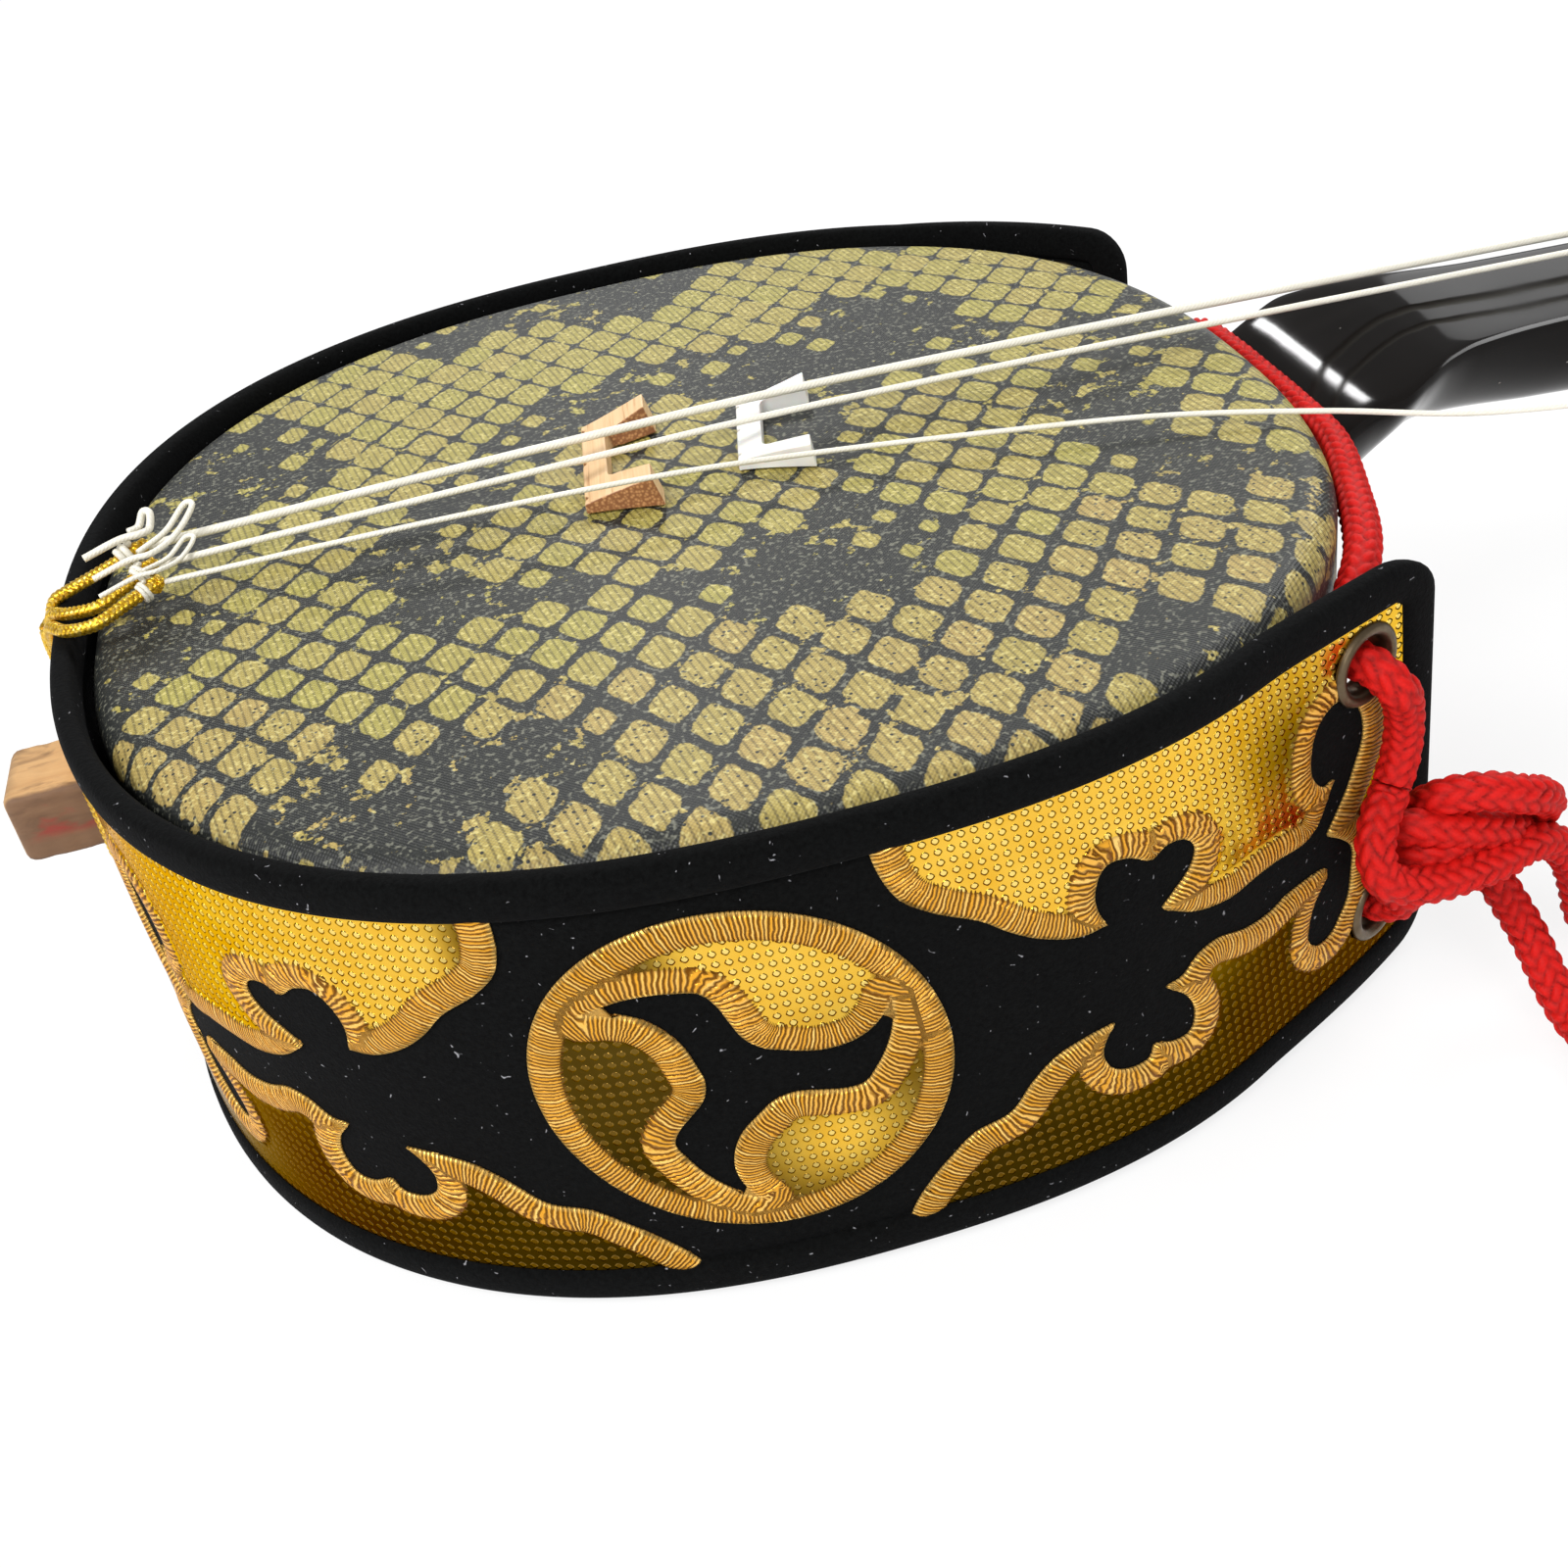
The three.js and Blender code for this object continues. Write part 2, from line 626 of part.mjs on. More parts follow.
function crest(angle) {
  const along = alongAtAngle(angle, crestHeightMiddle);
  const place = wrapPoint(along, bandInset, crestHeightMiddle);
  const facing = wrapFacing(along, crestHeightMiddle);
  const reach = 2 * cutOverrun;
  const settings = { depth: 2 * reach, bevelEnabled: false, steps: 1 };
  const disc = polygon(crestRadius, crestSides);
  disc.holes.push(gapShape(crestRadius));
  const prism = new THREE.ExtrudeGeometry(disc, settings).translate(0, 0, -reach);
  const across = new THREE.Vector3().crossVectors(at(0, 0, 1), facing);
  const frame = new THREE.Matrix4().makeBasis(across, at(0, 0, 1), facing).setPosition(place);
  prism.applyMatrix4(frame);
  const reachAlong = crestRadius + cutOverrun;
  const cloth = wrapSlab(
    along - reachAlong, along + reachAlong, bandEdge, wrapHeight - bandEdge,
    bandInset - touchGap - crestThickness, crestThickness, 8);
  return toGeometry(toSolid(cloth).intersect(toSolid(prism)));
}
const crestNearAngle = -99.8 * degree;
const crestFarAngle = nearEndTop + farEnd - crestNearAngle;
addPart('crest_near', crest(crestNearAngle), '#d9a440', 0.35, 0.5);
addPart('crest_far', crest(crestFarAngle), '#d9a440', 0.35, 0.5);

// Bridges lie flat on the skin under the slack strings, crest towards the tail.
const bridgeFloor = drumDepth + touchGap;
const archRound = 2;
function bridge({
  height, lean, crestHalf, footHalf, gapHalf, archHalf, archTop, crestThick, footThick, notch, notchSpacing,
}) {
  const shape = new THREE.Shape();
  shape.moveTo(0, -crestHalf);
  shape.quadraticCurveTo(height / 3, -crestHalf, height, -footHalf);
  shape.lineTo(height, -gapHalf);
  shape.lineTo(archTop + archRound, -archHalf);
  shape.quadraticCurveTo(archTop, -archHalf, archTop, archRound - archHalf);
  shape.lineTo(archTop, archHalf - archRound);
  shape.quadraticCurveTo(archTop, archHalf, archTop + archRound, archHalf);
  shape.lineTo(height, gapHalf);
  shape.lineTo(height, footHalf);
  shape.quadraticCurveTo(height / 3, crestHalf, 0, crestHalf);
  for (const place of [1, 0, -1]) {
    const middle = place * notchSpacing;
    shape.lineTo(0, middle + notch);
    shape.lineTo(notch, middle);
    shape.lineTo(0, middle - notch);
  }
  const settings = { depth: 1, bevelEnabled: false, steps: 1, curveSegments: 6 };
  const plate = new THREE.ExtrudeGeometry(shape, settings);
  const positions = plate.attributes.position;
  for (let i = 0; i < positions.count; i++) {
    const reach = positions.getX(i);
    const isTop = positions.getZ(i);
    positions.setX(i, reach * (1 - isTop * lean / height));
    positions.setZ(i, isTop * mix(crestThick, footThick, reach / height));
  }
  return plate;
}
const bambooBridge = bridge({
  height: 12.3, lean: 1.4, crestHalf: 14.5, footHalf: 16.3, gapHalf: 10.9, archHalf: 8.5, archTop: 4.5,
  crestThick: 1.7, footThick: 5, notch: 0.8, notchSpacing: 12.4,
});
const bambooPlace = { x: -15, y: 8.6, yaw: -7 * degree };
bambooBridge.rotateZ(bambooPlace.yaw).translate(bambooPlace.x, bambooPlace.y, bridgeFloor);
addPart('bamboo_bridge', bambooBridge, '#dcb57e', 0.55);
const whiteBridge = bridge({
  height: 12.1, lean: 0.5, crestHalf: 11.3, footHalf: 14, gapHalf: 10.2, archHalf: 8.8, archTop: 4.2,
  crestThick: 1.7, footThick: 4, notch: 0.6, notchSpacing: 9,
});
const whitePlace = { x: 10.2, y: 7.7, yaw: -11 * degree };
whiteBridge.rotateZ(whitePlace.yaw).translate(whitePlace.x, whitePlace.y, bridgeFloor);
addPart('white_bridge', whiteBridge, '#eeeeea', 0.4);

// Tail cord: gold braid looped round the stub, over the wrap, with three knotted legs
const braidRadius = 1.85;
const legRadius = 0.95;
const knotRadius = 1.35;
const stubLoopRadius = 1.3;
const stubMiddle = -wrapHalfLength + wrapShift - braidRadius - touchGap;
const loopReach = stubLoopRadius + touchGap;
const loopSides = 6;
const loopRings = [];
for (const [side, rise, start] of [[1, 1, 0], [-1, 1, 1], [-1, -1, 2], [1, -1, 3]]) {
  for (let i = 0; i <= 4; i++) {
    const angle = (start + i / 4) * halfTurn / 2;
    const out = at(0, Math.cos(angle), Math.sin(angle));
    const corner = at(stubMiddle, side * coreHalfWidth, coreMiddle + rise * coreHeight / 2);
    const middle = corner.addScaledVector(out, loopReach);
    const ring = [];
    for (let k = 0; k < loopSides; k++) {
      const turn = (k / loopSides) * fullTurn;
      const lift = at(stubLoopRadius * Math.sin(turn), 0, 0);
      ring.push(middle.clone().addScaledVector(out, stubLoopRadius * Math.cos(turn)).add(lift));
    }
    loopRings.push(ring);
  }
}
const pipingTop = wrapBase + wrapHeight;
const tailTop = Math.max(pipingTop, drumDepth);
const trunkTop = at(stubMiddle + 2.6 * braidRadius, 0.4, tailTop + braidRadius + touchGap);
const knotRise = 1.75;
function onDrum(inward, across, rise) {
  return at(inward - drumHalfLength, across, trunkTop.z + rise);
}
const knotPlaces = [onDrum(9.4, 9.2, knotRise), onDrum(11.2, 1.4, knotRise), onDrum(12.3, -5, knotRise)];
const loopTop = coreMiddle + coreHeight / 2 + loopReach;
const trunkRoute = [
  at(stubMiddle, -1, loopTop),
  at(stubMiddle, -1.2, loopTop + 8),
  at(stubMiddle, -0.8, pipingTop - 4),
  at(stubMiddle + braidRadius / 2, 0, tailTop + braidRadius * 0.9),
  at(stubMiddle + 1.6 * braidRadius, 0.3, tailTop + braidRadius * 1.25),
  trunkTop,
];
const tailCord = [loft(loopRings, true), cordAlong(trunkRoute, braidRadius, 14, 10)];
for (const place of knotPlaces) {
  const bend = new THREE.Vector3().lerpVectors(trunkTop, place, 1 / 2).add(at(0, 0, 1 / 2));
  tailCord.push(cordAlong([trunkTop.clone().add(at(-1, 0, 0)), bend, place], legRadius, 6, 8));
  tailCord.push(new THREE.SphereGeometry(knotRadius, 8, 6).translate(place.x, place.y, place.z));
}
addPart('tail_cord', join(tailCord), '#e3b11e', 0.4, 0.4);

// Bow knots: each string's end wraps the gold knot and makes one loop.
const bowTips = [onDrum(11.6, 11.9, 6.05), onDrum(18.4, 10.6, 6.45), onDrum(17.9, 4.2, 3.85)];
const bowSteps = 24;
const bowSpread = 1.15;
knotPlaces.forEach((knot, i) => {
  const radius = stringRadii[i] * 0.85;
  const clear = knotRadius + radius + touchGap;
  const tip = bowTips[i];
  const reach = new THREE.Vector3().subVectors(tip, knot);
  const sideways = new THREE.Vector3().crossVectors(reach, at(0, 0, 1)).normalize();
  const start = knot.clone().add(at(-clear * 1.5, 0, clear * 1.1)).addScaledVector(sideways, clear * 0.7);
  const route = [
    start.clone().add(at(-6, -1.2, -1.2)),
    start,
    knot.clone().add(at(0, 0, clear * 1.15)).addScaledVector(sideways, clear * 0.6),
    knot.clone().addScaledVector(reach, 0.55).addScaledVector(sideways, bowSpread),
    tip.clone().addScaledVector(sideways, bowSpread * 0.55),
    tip.clone().addScaledVector(sideways, -bowSpread * 0.55),
    knot.clone().addScaledVector(reach, 0.55).addScaledVector(sideways, -bowSpread),
    knot.clone().add(at(clear * 0.2, 0, clear * 1.05)).addScaledVector(sideways, -clear * 0.9),
  ];
  addPart(`string_bow_${i + 1}`, cordAlong(route, radius, bowSteps, 6), '#ece9dc', 0.5);
});

// Windings: each string's last turns round its peg, as one unbroken helix
const windingTurns = 2;
const windingSteps = 16;
const windingMiddles = [2.2, 0, -2.2];
const turnGap = 0.55;
const shaftRadiusInBox = pegRadius - pegTaper / 2;
const windings = pegPlaces.map((place, i) => {
  const radius = stringRadii[i];
  const reach = shaftRadiusInBox + pegTaper / 4 + radius + touchGap;
  const pitch = 2 * radius + turnGap;
  const route = [];
  for (let j = 0; j <= windingTurns * windingSteps; j++) {
    const turn = (j / windingSteps) * fullTurn;
    const y = windingMiddles[i] + (windingTurns / 2) * pitch - (j / windingSteps) * pitch;
    route.push(at(place.x + reach * Math.sin(turn), y, place.z + reach * Math.cos(turn)));
  }
  return { route, radius, reach };
});
function leastGap(route, radius) {
  let least = Infinity;
  for (let i = 0; i < route.length; i++) {
    for (let j = i + windingSteps / 2; j < route.length; j++) {
      least = Math.min(least, route[i].distanceTo(route[j]) - 2 * radius);
    }
  }
  return least;
}
const windingSides = 6;
windings.forEach(({ route, radius, reach }, i) => {
  console.log(`winding_${i + 1} least gap to itself ${leastGap(route, radius).toFixed(2)} mm`);
  const rings = route.map((middle) => {
    const out = at(middle.x - pegPlaces[i].x, 0, middle.z - pegPlaces[i].z).divideScalar(reach);
    const ring = [];
    for (let k = 0; k < windingSides; k++) {
      const turn = (k / windingSides) * fullTurn;
      ring.push(middle.clone().addScaledVector(out, radius * Math.cos(turn)).add(at(0, radius * Math.sin(turn), 0)));
    }
    return ring;
  });
  addPart(`winding_${i + 1}`, loft(rings), '#ece9dc', 0.5);
});

// Strings: from the gold knots over the lying bridges and the nut to the pegs. The thin
// string is slack and bows out over the near edge of the neck.
const bridgeTop = bridgeFloor + 5;
const nutTop = nutBase + nutHeight;
function stringHeight(x, radius) {
  const start = whitePlace.x + 14;
  return mix(bridgeTop + touchGap + radius, nutTop + radius, Math.max(0, (x - start) / (nutStation - start)));
}
const stringRoutes = [0, 1, 2].map((i) => {
  const radius = stringRadii[i];
  const knot = knotPlaces[i];
  const clear = knotRadius + radius + 2 * touchGap;
  const winding = windings[i].route[0];
  const nutY = nutSpacing * (1 - i);
  const start = at(knot.x + clear, knot.y, knot.z);
  const end = at(winding.x - touchGap, winding.y, winding.z);
  const run = at(winding.x - 4 * radius - touchGap, winding.y, winding.z + radius / 2);
  const overBridges = [
    at(bambooPlace.x, mix(knot.y, nutY, 0.1), stringHeight(0, radius)),
    at(whitePlace.x + 12, mix(knot.y, nutY, 0.16), stringHeight(0, radius)),
  ];
  const onNut = nutTop + (radius + touchGap) / 2;
  const tailEdge = at(nutStation - nutLength - radius, nutY, onNut);
  const headEdge = at(nutStation + radius, nutY, onNut);
  const middle = at(
    mix(whitePlace.x, nutStation, 1 / 2), mix(knot.y, nutY, 0.6), stringHeight(mix(whitePlace.x, nutStation, 1 / 2), radius));
  return { radius, start, overBridges, middle, finish: [tailEdge, headEdge, run, end] };
});
const slackRoute = [
  at(-40, -7.6, 77.4), at(-4, -10.8, 77.4), at(19, -10.4, 75), at(45, -16, 74.2), at(70, -23.4, 73.8),
  at(92, -32, 72.6), at(113, -40.5, 70.6), at(150, -45, 68.5), at(220, -40, 66), at(320, -29, 62.5),
  at(430, -17, 59.6),
];
stringRoutes.forEach(({ radius, start, overBridges, middle, finish }, i) => {
  const route = i === 2 ? [start, ...slackRoute, ...finish] : [start, ...overBridges, middle, ...finish];
  addPart(`string_${i + 1}`, cordAlong(route, radius, i === 2 ? 44 : 32, 8), '#ece9dc', 0.5);
});

// Lacing cord: in through a near eyelet, over the neck at the drum's edge, out and down
// through the far eyelets, back under the neck and out through the other near eyelet
const [nearBottom, nearTop, farBottom, farTop] = eyelets;
function past({ place, facing, run }, reach, shift = 0) {
  return place.clone().addScaledVector(facing, reach).addScaledVector(run, shift);
}
const besideReach = cordRadius + 2 * touchGap;
function beside(angle, height) {
  return drumPoint(angle * degree, -besideReach, height);
}
function outside(eyelet, height) {
  return wrapPoint(eyelet.along, bandInset - besideReach, height);
}
const bendReach = eyeletSeat + eyeletFlange + besideReach;
function overNeck(ahead, across, rise) {
  return at(drumHalfLength + ahead, across, crestHeight + rise);
}
// The knot hangs between the two near eyelets: its points are counted from their middle.
const knotMiddle = new THREE.Vector3().lerpVectors(nearBottom.place, nearTop.place, 1 / 2);
function byKnot(ahead, across, height) {
  return at(knotMiddle.x + ahead, knotMiddle.y + across, height);
}
const laceRoute = [
  byKnot(1.01, -4.97, 41.8),
  byKnot(2.41, -4.07, 44.8),
  byKnot(3.11, -3.57, 48.6),
  byKnot(2.41, -4.37, 53.8),
  past(nearTop, bendReach, 1).add(at(0, 0, -2.4)),
  past(nearTop, 1.4, 0.2),
  past(nearTop, -3, 0.5),
  past(nearTop, -6.4, 3.8),
  beside(-35, 63.8),
  beside(-25, 65.3),
  overNeck(2.8, -27, 0.3),
  overNeck(4.2, -12, 0.3),
  overNeck(4.3, 0, 0.3),
  overNeck(4.2, 12, 0.3),
  overNeck(3.5, 23.5, -0.8),
  beside(19, 60.4),
  beside(24, 57.6),
  past(farTop, -5, 1.9),
  past(farTop, -1.4, 0),
  past(farTop, 2.6, -0.4),
  past(farTop, bendReach, -0.4).add(at(0, 0, -4)),
  outside(farTop, 44),
  outside(farTop, 34.6),
  outside(farTop, 25),
  past(farBottom, bendReach, -0.4).add(at(0, 0, 4)),
  past(farBottom, 2.6, -0.4),
  past(farBottom, -1.4, 0),
  past(farBottom, -5, 1.9),
  beside(22, 15.6),
  beside(14, 18),
  at(drumHalfLength + 5.2, 0, 19),
  beside(-14, 18),
  beside(-24, 15.6),
  beside(-33, 14.4),
  past(nearBottom, -6.4, 3.8),
  past(nearBottom, -3, 0.5),
  past(nearBottom, 1.4, 0.2),
  past(nearBottom, bendReach, 0.2).add(at(0, 0, 2.6)),
  byKnot(1.61, -2.17, 23.4),
  byKnot(2.01, -1.97, 26),
];
addPart('lacing_cord', cordAlong(laceRoute, cordRadius, 76, 8), '#e2231a', 0.7);

// Knot of the lacing: one end wraps round in front and leaves as the upper end. The other
// makes the bow loop behind it and leaves as the lower end. Both ends have bound tips.
function leaving(route, other) {
  const run = other[0].clone().sub(other[1]).normalize();
  const start = other[0].clone().addScaledVector(run, touchGap);
  return [start, start.clone().addScaledVector(run, cordRadius / 2), ...route];
}
const knotRoute = leaving([
  byKnot(-1.99, -7.37, 38),
  byKnot(-3.69, -9.77, 35.2),
  byKnot(-3.19, -11.37, 31.4),
  byKnot(-0.19, -11.77, 28.4),
  byKnot(4.41, -11.67, 26.8),
  byKnot(9.41, -10.97, 26.3),
  byKnot(14.11, -9.97, 26.1),
  byKnot(16.81, -9.07, 26),
  byKnot(19.01, -8.27, 25.7),
], laceRoute);
addPart('lace_knot', cordAlong(knotRoute, cordRadius, 20, 8), '#e2231a', 0.7);
const bowRoute = leaving([
  byKnot(3.71, -1.77, 29.7),
  byKnot(6.41, -2.97, 34.1),
  byKnot(9.11, -5.97, 38.8),
  byKnot(13.81, -7.77, 39.6),
  byKnot(19.11, -7.97, 37.4),
  byKnot(23.21, -5.97, 33.3),
  byKnot(25.81, -2.37, 28.3),
  byKnot(22.81, -0.57, 26.3),
  byKnot(18.21, -0.37, 24.8),
  byKnot(15.81, -1.17, 22.6),
  byKnot(15.21, -3.37, 19.9),
  byKnot(16.11, -4.97, 17),
], laceRoute.slice().reverse());
addPart('bow_loop', cordAlong(bowRoute, cordRadius, 32, 8), '#e2231a', 0.7);
const upperRoute = leaving([
  byKnot(23.81, -5.97, 23.4),
  byKnot(27.31, -5.37, 19.7),
  byKnot(29.91, -5.37, 14.3),
  byKnot(32.41, -5.77, 8),
  byKnot(36.41, -6.37, 4.2),
  byKnot(42.41, -6.97, 3.1),
  byKnot(50.41, -7.77, 3.1),
  byKnot(56.41, -8.77, 3.1),
  byKnot(59.41, -9.37, 3.1),
], knotRoute.slice().reverse());
addPart('cord_end_upper', cordAlong(upperRoute, cordRadius, 24, 8), '#e2231a', 0.7);
const lowerRoute = leaving([
  byKnot(18.01, -8.97, 12),
  byKnot(18.71, -12.37, 8.6),
  byKnot(19.41, -15.77, 5.6),
  byKnot(19.91, -18.37, 3.8),
  byKnot(20.21, -20.37, 3.15),
  byKnot(20.41, -22.37, 3.15),
], bowRoute.slice().reverse());
addPart('cord_end_lower', cordAlong(lowerRoute, cordRadius, 14, 8), '#e2231a', 0.7);
const aglets = [['aglet_upper', upperRoute], ['aglet_lower', lowerRoute]];
const agletLength = 9;
const agletSides = 12;
for (const [name, route] of aglets) {
  const last = route[route.length - 1];
  const run = new THREE.Vector3().subVectors(last, route[route.length - 2]).setZ(0).normalize();
  const shell = new THREE.CylinderGeometry(cordRadius * 0.92, cordRadius, agletLength, agletSides);
  const place = last.clone().addScaledVector(run, touchGap + agletLength / 2);
  shell.applyQuaternion(facingTurn(run)).translate(place.x, place.y, place.z);
  addPart(name, shell, '#141415', 0.6);
}

export default sanshin;
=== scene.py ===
# Sanshin, a three-string lute, lying on its back in its cloth drum wrap with red lacing.
# Sizes are millimetres until a surface goes into a mesh. +X runs along the neck to the
# head, +Z comes out of the front skin, +Y is the side of the thickest string.
import bmesh
import bpy
import numpy as np
from mathutils import Matrix, Vector


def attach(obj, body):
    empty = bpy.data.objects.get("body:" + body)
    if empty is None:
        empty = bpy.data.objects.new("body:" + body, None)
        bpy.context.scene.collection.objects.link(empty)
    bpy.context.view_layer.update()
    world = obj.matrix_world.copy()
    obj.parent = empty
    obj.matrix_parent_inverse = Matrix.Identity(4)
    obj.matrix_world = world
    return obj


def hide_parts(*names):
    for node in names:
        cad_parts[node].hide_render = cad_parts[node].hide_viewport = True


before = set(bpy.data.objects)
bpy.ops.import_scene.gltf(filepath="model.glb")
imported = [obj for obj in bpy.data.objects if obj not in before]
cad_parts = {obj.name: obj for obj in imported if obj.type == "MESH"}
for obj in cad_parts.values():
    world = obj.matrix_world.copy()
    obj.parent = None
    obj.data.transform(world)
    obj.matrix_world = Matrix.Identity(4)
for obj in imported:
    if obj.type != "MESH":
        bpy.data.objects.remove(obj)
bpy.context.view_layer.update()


# ---- The table it lies on -------------------------------------------------------------
# A white paper sweep under two large soft boxes. The camera stands where the photograph
# was taken, close to the drum and above its near side.
scene = bpy.context.scene
scene.view_settings.view_transform = "Standard"
camera = bpy.data.objects.new("camera", bpy.data.cameras.new("camera"))
scene.collection.objects.link(camera)
scene.camera = camera
camera.data.sensor_width = 36
camera.data.lens = 43.594
camera.data.clip_start = 0.01
camera_turn = Vector((2.153817, -0.335166, -0.028208))
sight = Matrix.Rotation(camera_turn.length, 3, camera_turn).transposed() @ Matrix.Diagonal((1, -1, -1))
camera.matrix_world = Matrix.Translation((-0.028875, -0.271858, 0.200501)) @ sight.to_4x4()


def linear(hex_colour):
    """Linear colour of an sRGB hex value: each channel through the sRGB curve."""
    srgb = np.array([int(hex_colour[i:i + 2], 16) for i in (1, 3, 5)]) / 255
    return (*np.where(srgb <= 0.04045, srgb / 12.92, ((srgb + 0.055) / 1.055) ** 2.4), 1.0)


def add(kind, inputs={}, **settings):
    """One shader node in the tree at hand, with its settings. An input takes a value, a hex
    colour, a socket, or a node, which gives its first socket in use. A mix is of colours
    unless it is told otherwise."""
    node = tree.nodes.new("ShaderNode" + kind)
    if kind == "Mix":
        settings.setdefault("data_type", "RGBA")
    for name, value in settings.items():
        setattr(node, name, value)
    for key, value in inputs.items():
        if isinstance(value, bpy.types.Node):
            value = next(socket for socket in value.outputs if socket.enabled)
        if isinstance(value, bpy.types.NodeSocket):
            tree.links.new(value, node.inputs[key])
        else:
            node.inputs[key].default_value = linear(value) if isinstance(value, str) else value
    return node


def start_material(name):
    """A new finish. Its empty node tree becomes the one that add() fills."""
    global tree
    material = bpy.data.materials.new(name)
    material.use_nodes = True
    tree = material.node_tree
    tree.nodes.clear()
    return material


# White paper: matt, and plain white to the lens and in mirrors, with its shadow kept
paper = start_material("white_paper")
ray = add("LightPath").outputs
seen = add("Math", {0: ray["Is Camera Ray"], 1: ray["Is Glossy Ray"]}, operation="MAXIMUM")
seen = add("Math", {0: seen, 1: ray["Is Transmission Ray"]}, operation="MAXIMUM")
share = add("Math", {0: seen, 1: 0.8}, operation="MULTIPLY")
fibres = add("TexNoise", {"Scale": 900.0, "Detail": 3.0})
tint = add("Mix", {0: fibres, 6: "#f6f6f6", 7: "#fdfdfd"})
matt = add("BsdfDiffuse", {"Color": tint})
glow = add("Emission")
add("OutputMaterial", {"Surface": add("MixShader", {0: share, 1: matt, 2: glow})})
paper_corners = [(x, y, -0.0004) for x, y in ((-4, -4), (4, -4), (4, 4), (-4, 4))]
paper_mesh = bpy.data.meshes.new("table")
paper_mesh.from_pydata(paper_corners, [], [(0, 1, 2, 3)])
paper_mesh.materials.append(paper)
table = bpy.data.objects.new("table", paper_mesh)
scene.collection.objects.link(table)

world = bpy.data.worlds.new("studio")
scene.world = world
world.use_nodes = True
tree = world.node_tree
tree.nodes.clear()
ray = add("LightPath").outputs
seen = add("Math", {0: ray["Is Camera Ray"], 1: ray["Is Transmission Ray"]}, operation="MAXIMUM")
level = add("MapRange", {0: seen, 3: 0.36})
room = add("Background", {"Color": (1, 1, 1, 1), "Strength": level})
add("OutputWorld", {"Surface": room})

for name, place, wide, tall, power in (
    ("soft_box_left", (-0.75, -0.45, 1.05), 0.7, 0.7, 17.0),
    ("soft_box_right", (0.95, 0.6, 1.0), 0.6, 0.6, 10.0),
    ("soft_box_front", (0.15, -1.3, 0.55), 0.5, 0.5, 6.0),
    ("strip_light_far", (0.06, 0.99, 0.75), 0.07, 0.24, 3.4),
    ("soft_panel_far", (0.88, 1.02, 0.5), 0.4, 0.5, 1.0),
):
    lamp = bpy.data.objects.new(name, bpy.data.lights.new(name, "AREA"))
    lamp.data.energy = power
    lamp.data.shape, lamp.data.size, lamp.data.size_y = "RECTANGLE", wide, tall
    lamp.location = place
    lamp.rotation_euler = (Vector((0, 0, 0.04)) - Vector(place)).to_track_quat("-Z", "Y").to_euler()
    scene.collection.objects.link(lamp)


# ---- Lacing cord ----------------------------------------------------------------------
# A braided polyester cord, 5.5 mm thick. It runs through the eyelets and over and under
# the neck, and its two ends make a bow knot and lie on the table, bound in black.
lace_radius = 2.75
lace_route = [
    (77.6, -81.6, 41.8), (79, -80.7, 44.8), (79.7, -80.2, 48.6), (79, -81, 53.8), (77.05, -82.55, 57.8),
    (74.93, -79.83, 60.2), (73.37, -75.71, 60.2), (74.96, -71.24, 60.2), (84.19, -58.95, 63.8),
    (90.8, -42.65, 64.6), (95.6, -27, 64.9), (96.8, -12, 64.6), (96.9, 0, 64.6), (96.8, 12, 64.6),
    (96.3, 23.5, 63.8), (93.7, 32.45, 60.1), (92.01, 40.96, 57.6), (84.04, 60.11, 60.2), (85.52, 63.9, 60.2),
    (88.28, 66.82, 60.2), (89.91, 68.23, 56.2), (89.37, 66.97, 44.2), (89.34, 67, 34.8), (89.32, 67.02, 25.2),
    (89.8, 68.35, 19.3), (88.17, 66.94, 15.3), (85.42, 64.02, 15.3), (83.95, 60.22, 15.3), (92.99, 37.57, 15.6),
    (95.76, 23.88, 18), (99, 0, 19), (95.76, -23.88, 18), (92.01, -40.96, 15.6), (85.93, -55.8, 14.4),
    (78.99, -67.18, 15.3), (77.92, -71.79, 15.3), (79.92, -75.72, 15.3), (81.65, -78.59, 17.9),
    (78.2, -78.8, 23.4), (78.6, -78.6, 26),
]
knot_route = [
    (77.48, -81.68, 41.54), (76.92, -82.04, 40.34), (74.6, -84, 38), (72.9, -86.4, 35.2), (73.4, -88, 31.4),
    (76.4, -88.4, 29.3), (81, -88.3, 28.2), (86, -87.6, 27.7), (90.7, -86.6, 27.3), (93.4, -85.7, 27),
    (95.6, -84.9, 27.1), (97.6, -84.2, 26.9), (101.2, -82.8, 25.2), (104.9, -82, 21), (107.3, -82, 14.6),
    (109, -82.4, 8), (113, -83, 4.2), (119, -83.6, 3.1), (127, -84.4, 3.1), (133, -85.4, 3.1), (136, -86, 3.1),
]
bow_route = [
    (78.65, -78.58, 26.3), (78.85, -78.47, 27.65), (80.3, -78.4, 29.7), (83, -79.6, 34.1), (85.7, -82.6, 37.6),
    (90.4, -84.4, 38.2), (95.7, -84.6, 36.2), (99.8, -82.6, 33.3), (102.4, -79, 28.3), (99.4, -77.2, 26.3),
    (96, -77, 25), (94.6, -77.8, 22.8), (94.6, -80, 19.9), (95.6, -81.6, 17), (96.2, -82.38, 15.58),
    (97.4, -85.6, 12), (98, -89, 8.6), (98.4, -92.4, 5.6), (98.8, -95, 3.8), (99, -97, 3.15), (99.1, -99, 3.15),
]


def run_along(path):
    """Distance along a path at each of its points."""
    return np.append(0, np.cumsum(np.linalg.norm(np.diff(path, axis=0), axis=1)))


def circle(count):
    """Angles of even steps round a full turn."""
    return np.linspace(0, 2 * np.pi, count, endpoint=False)


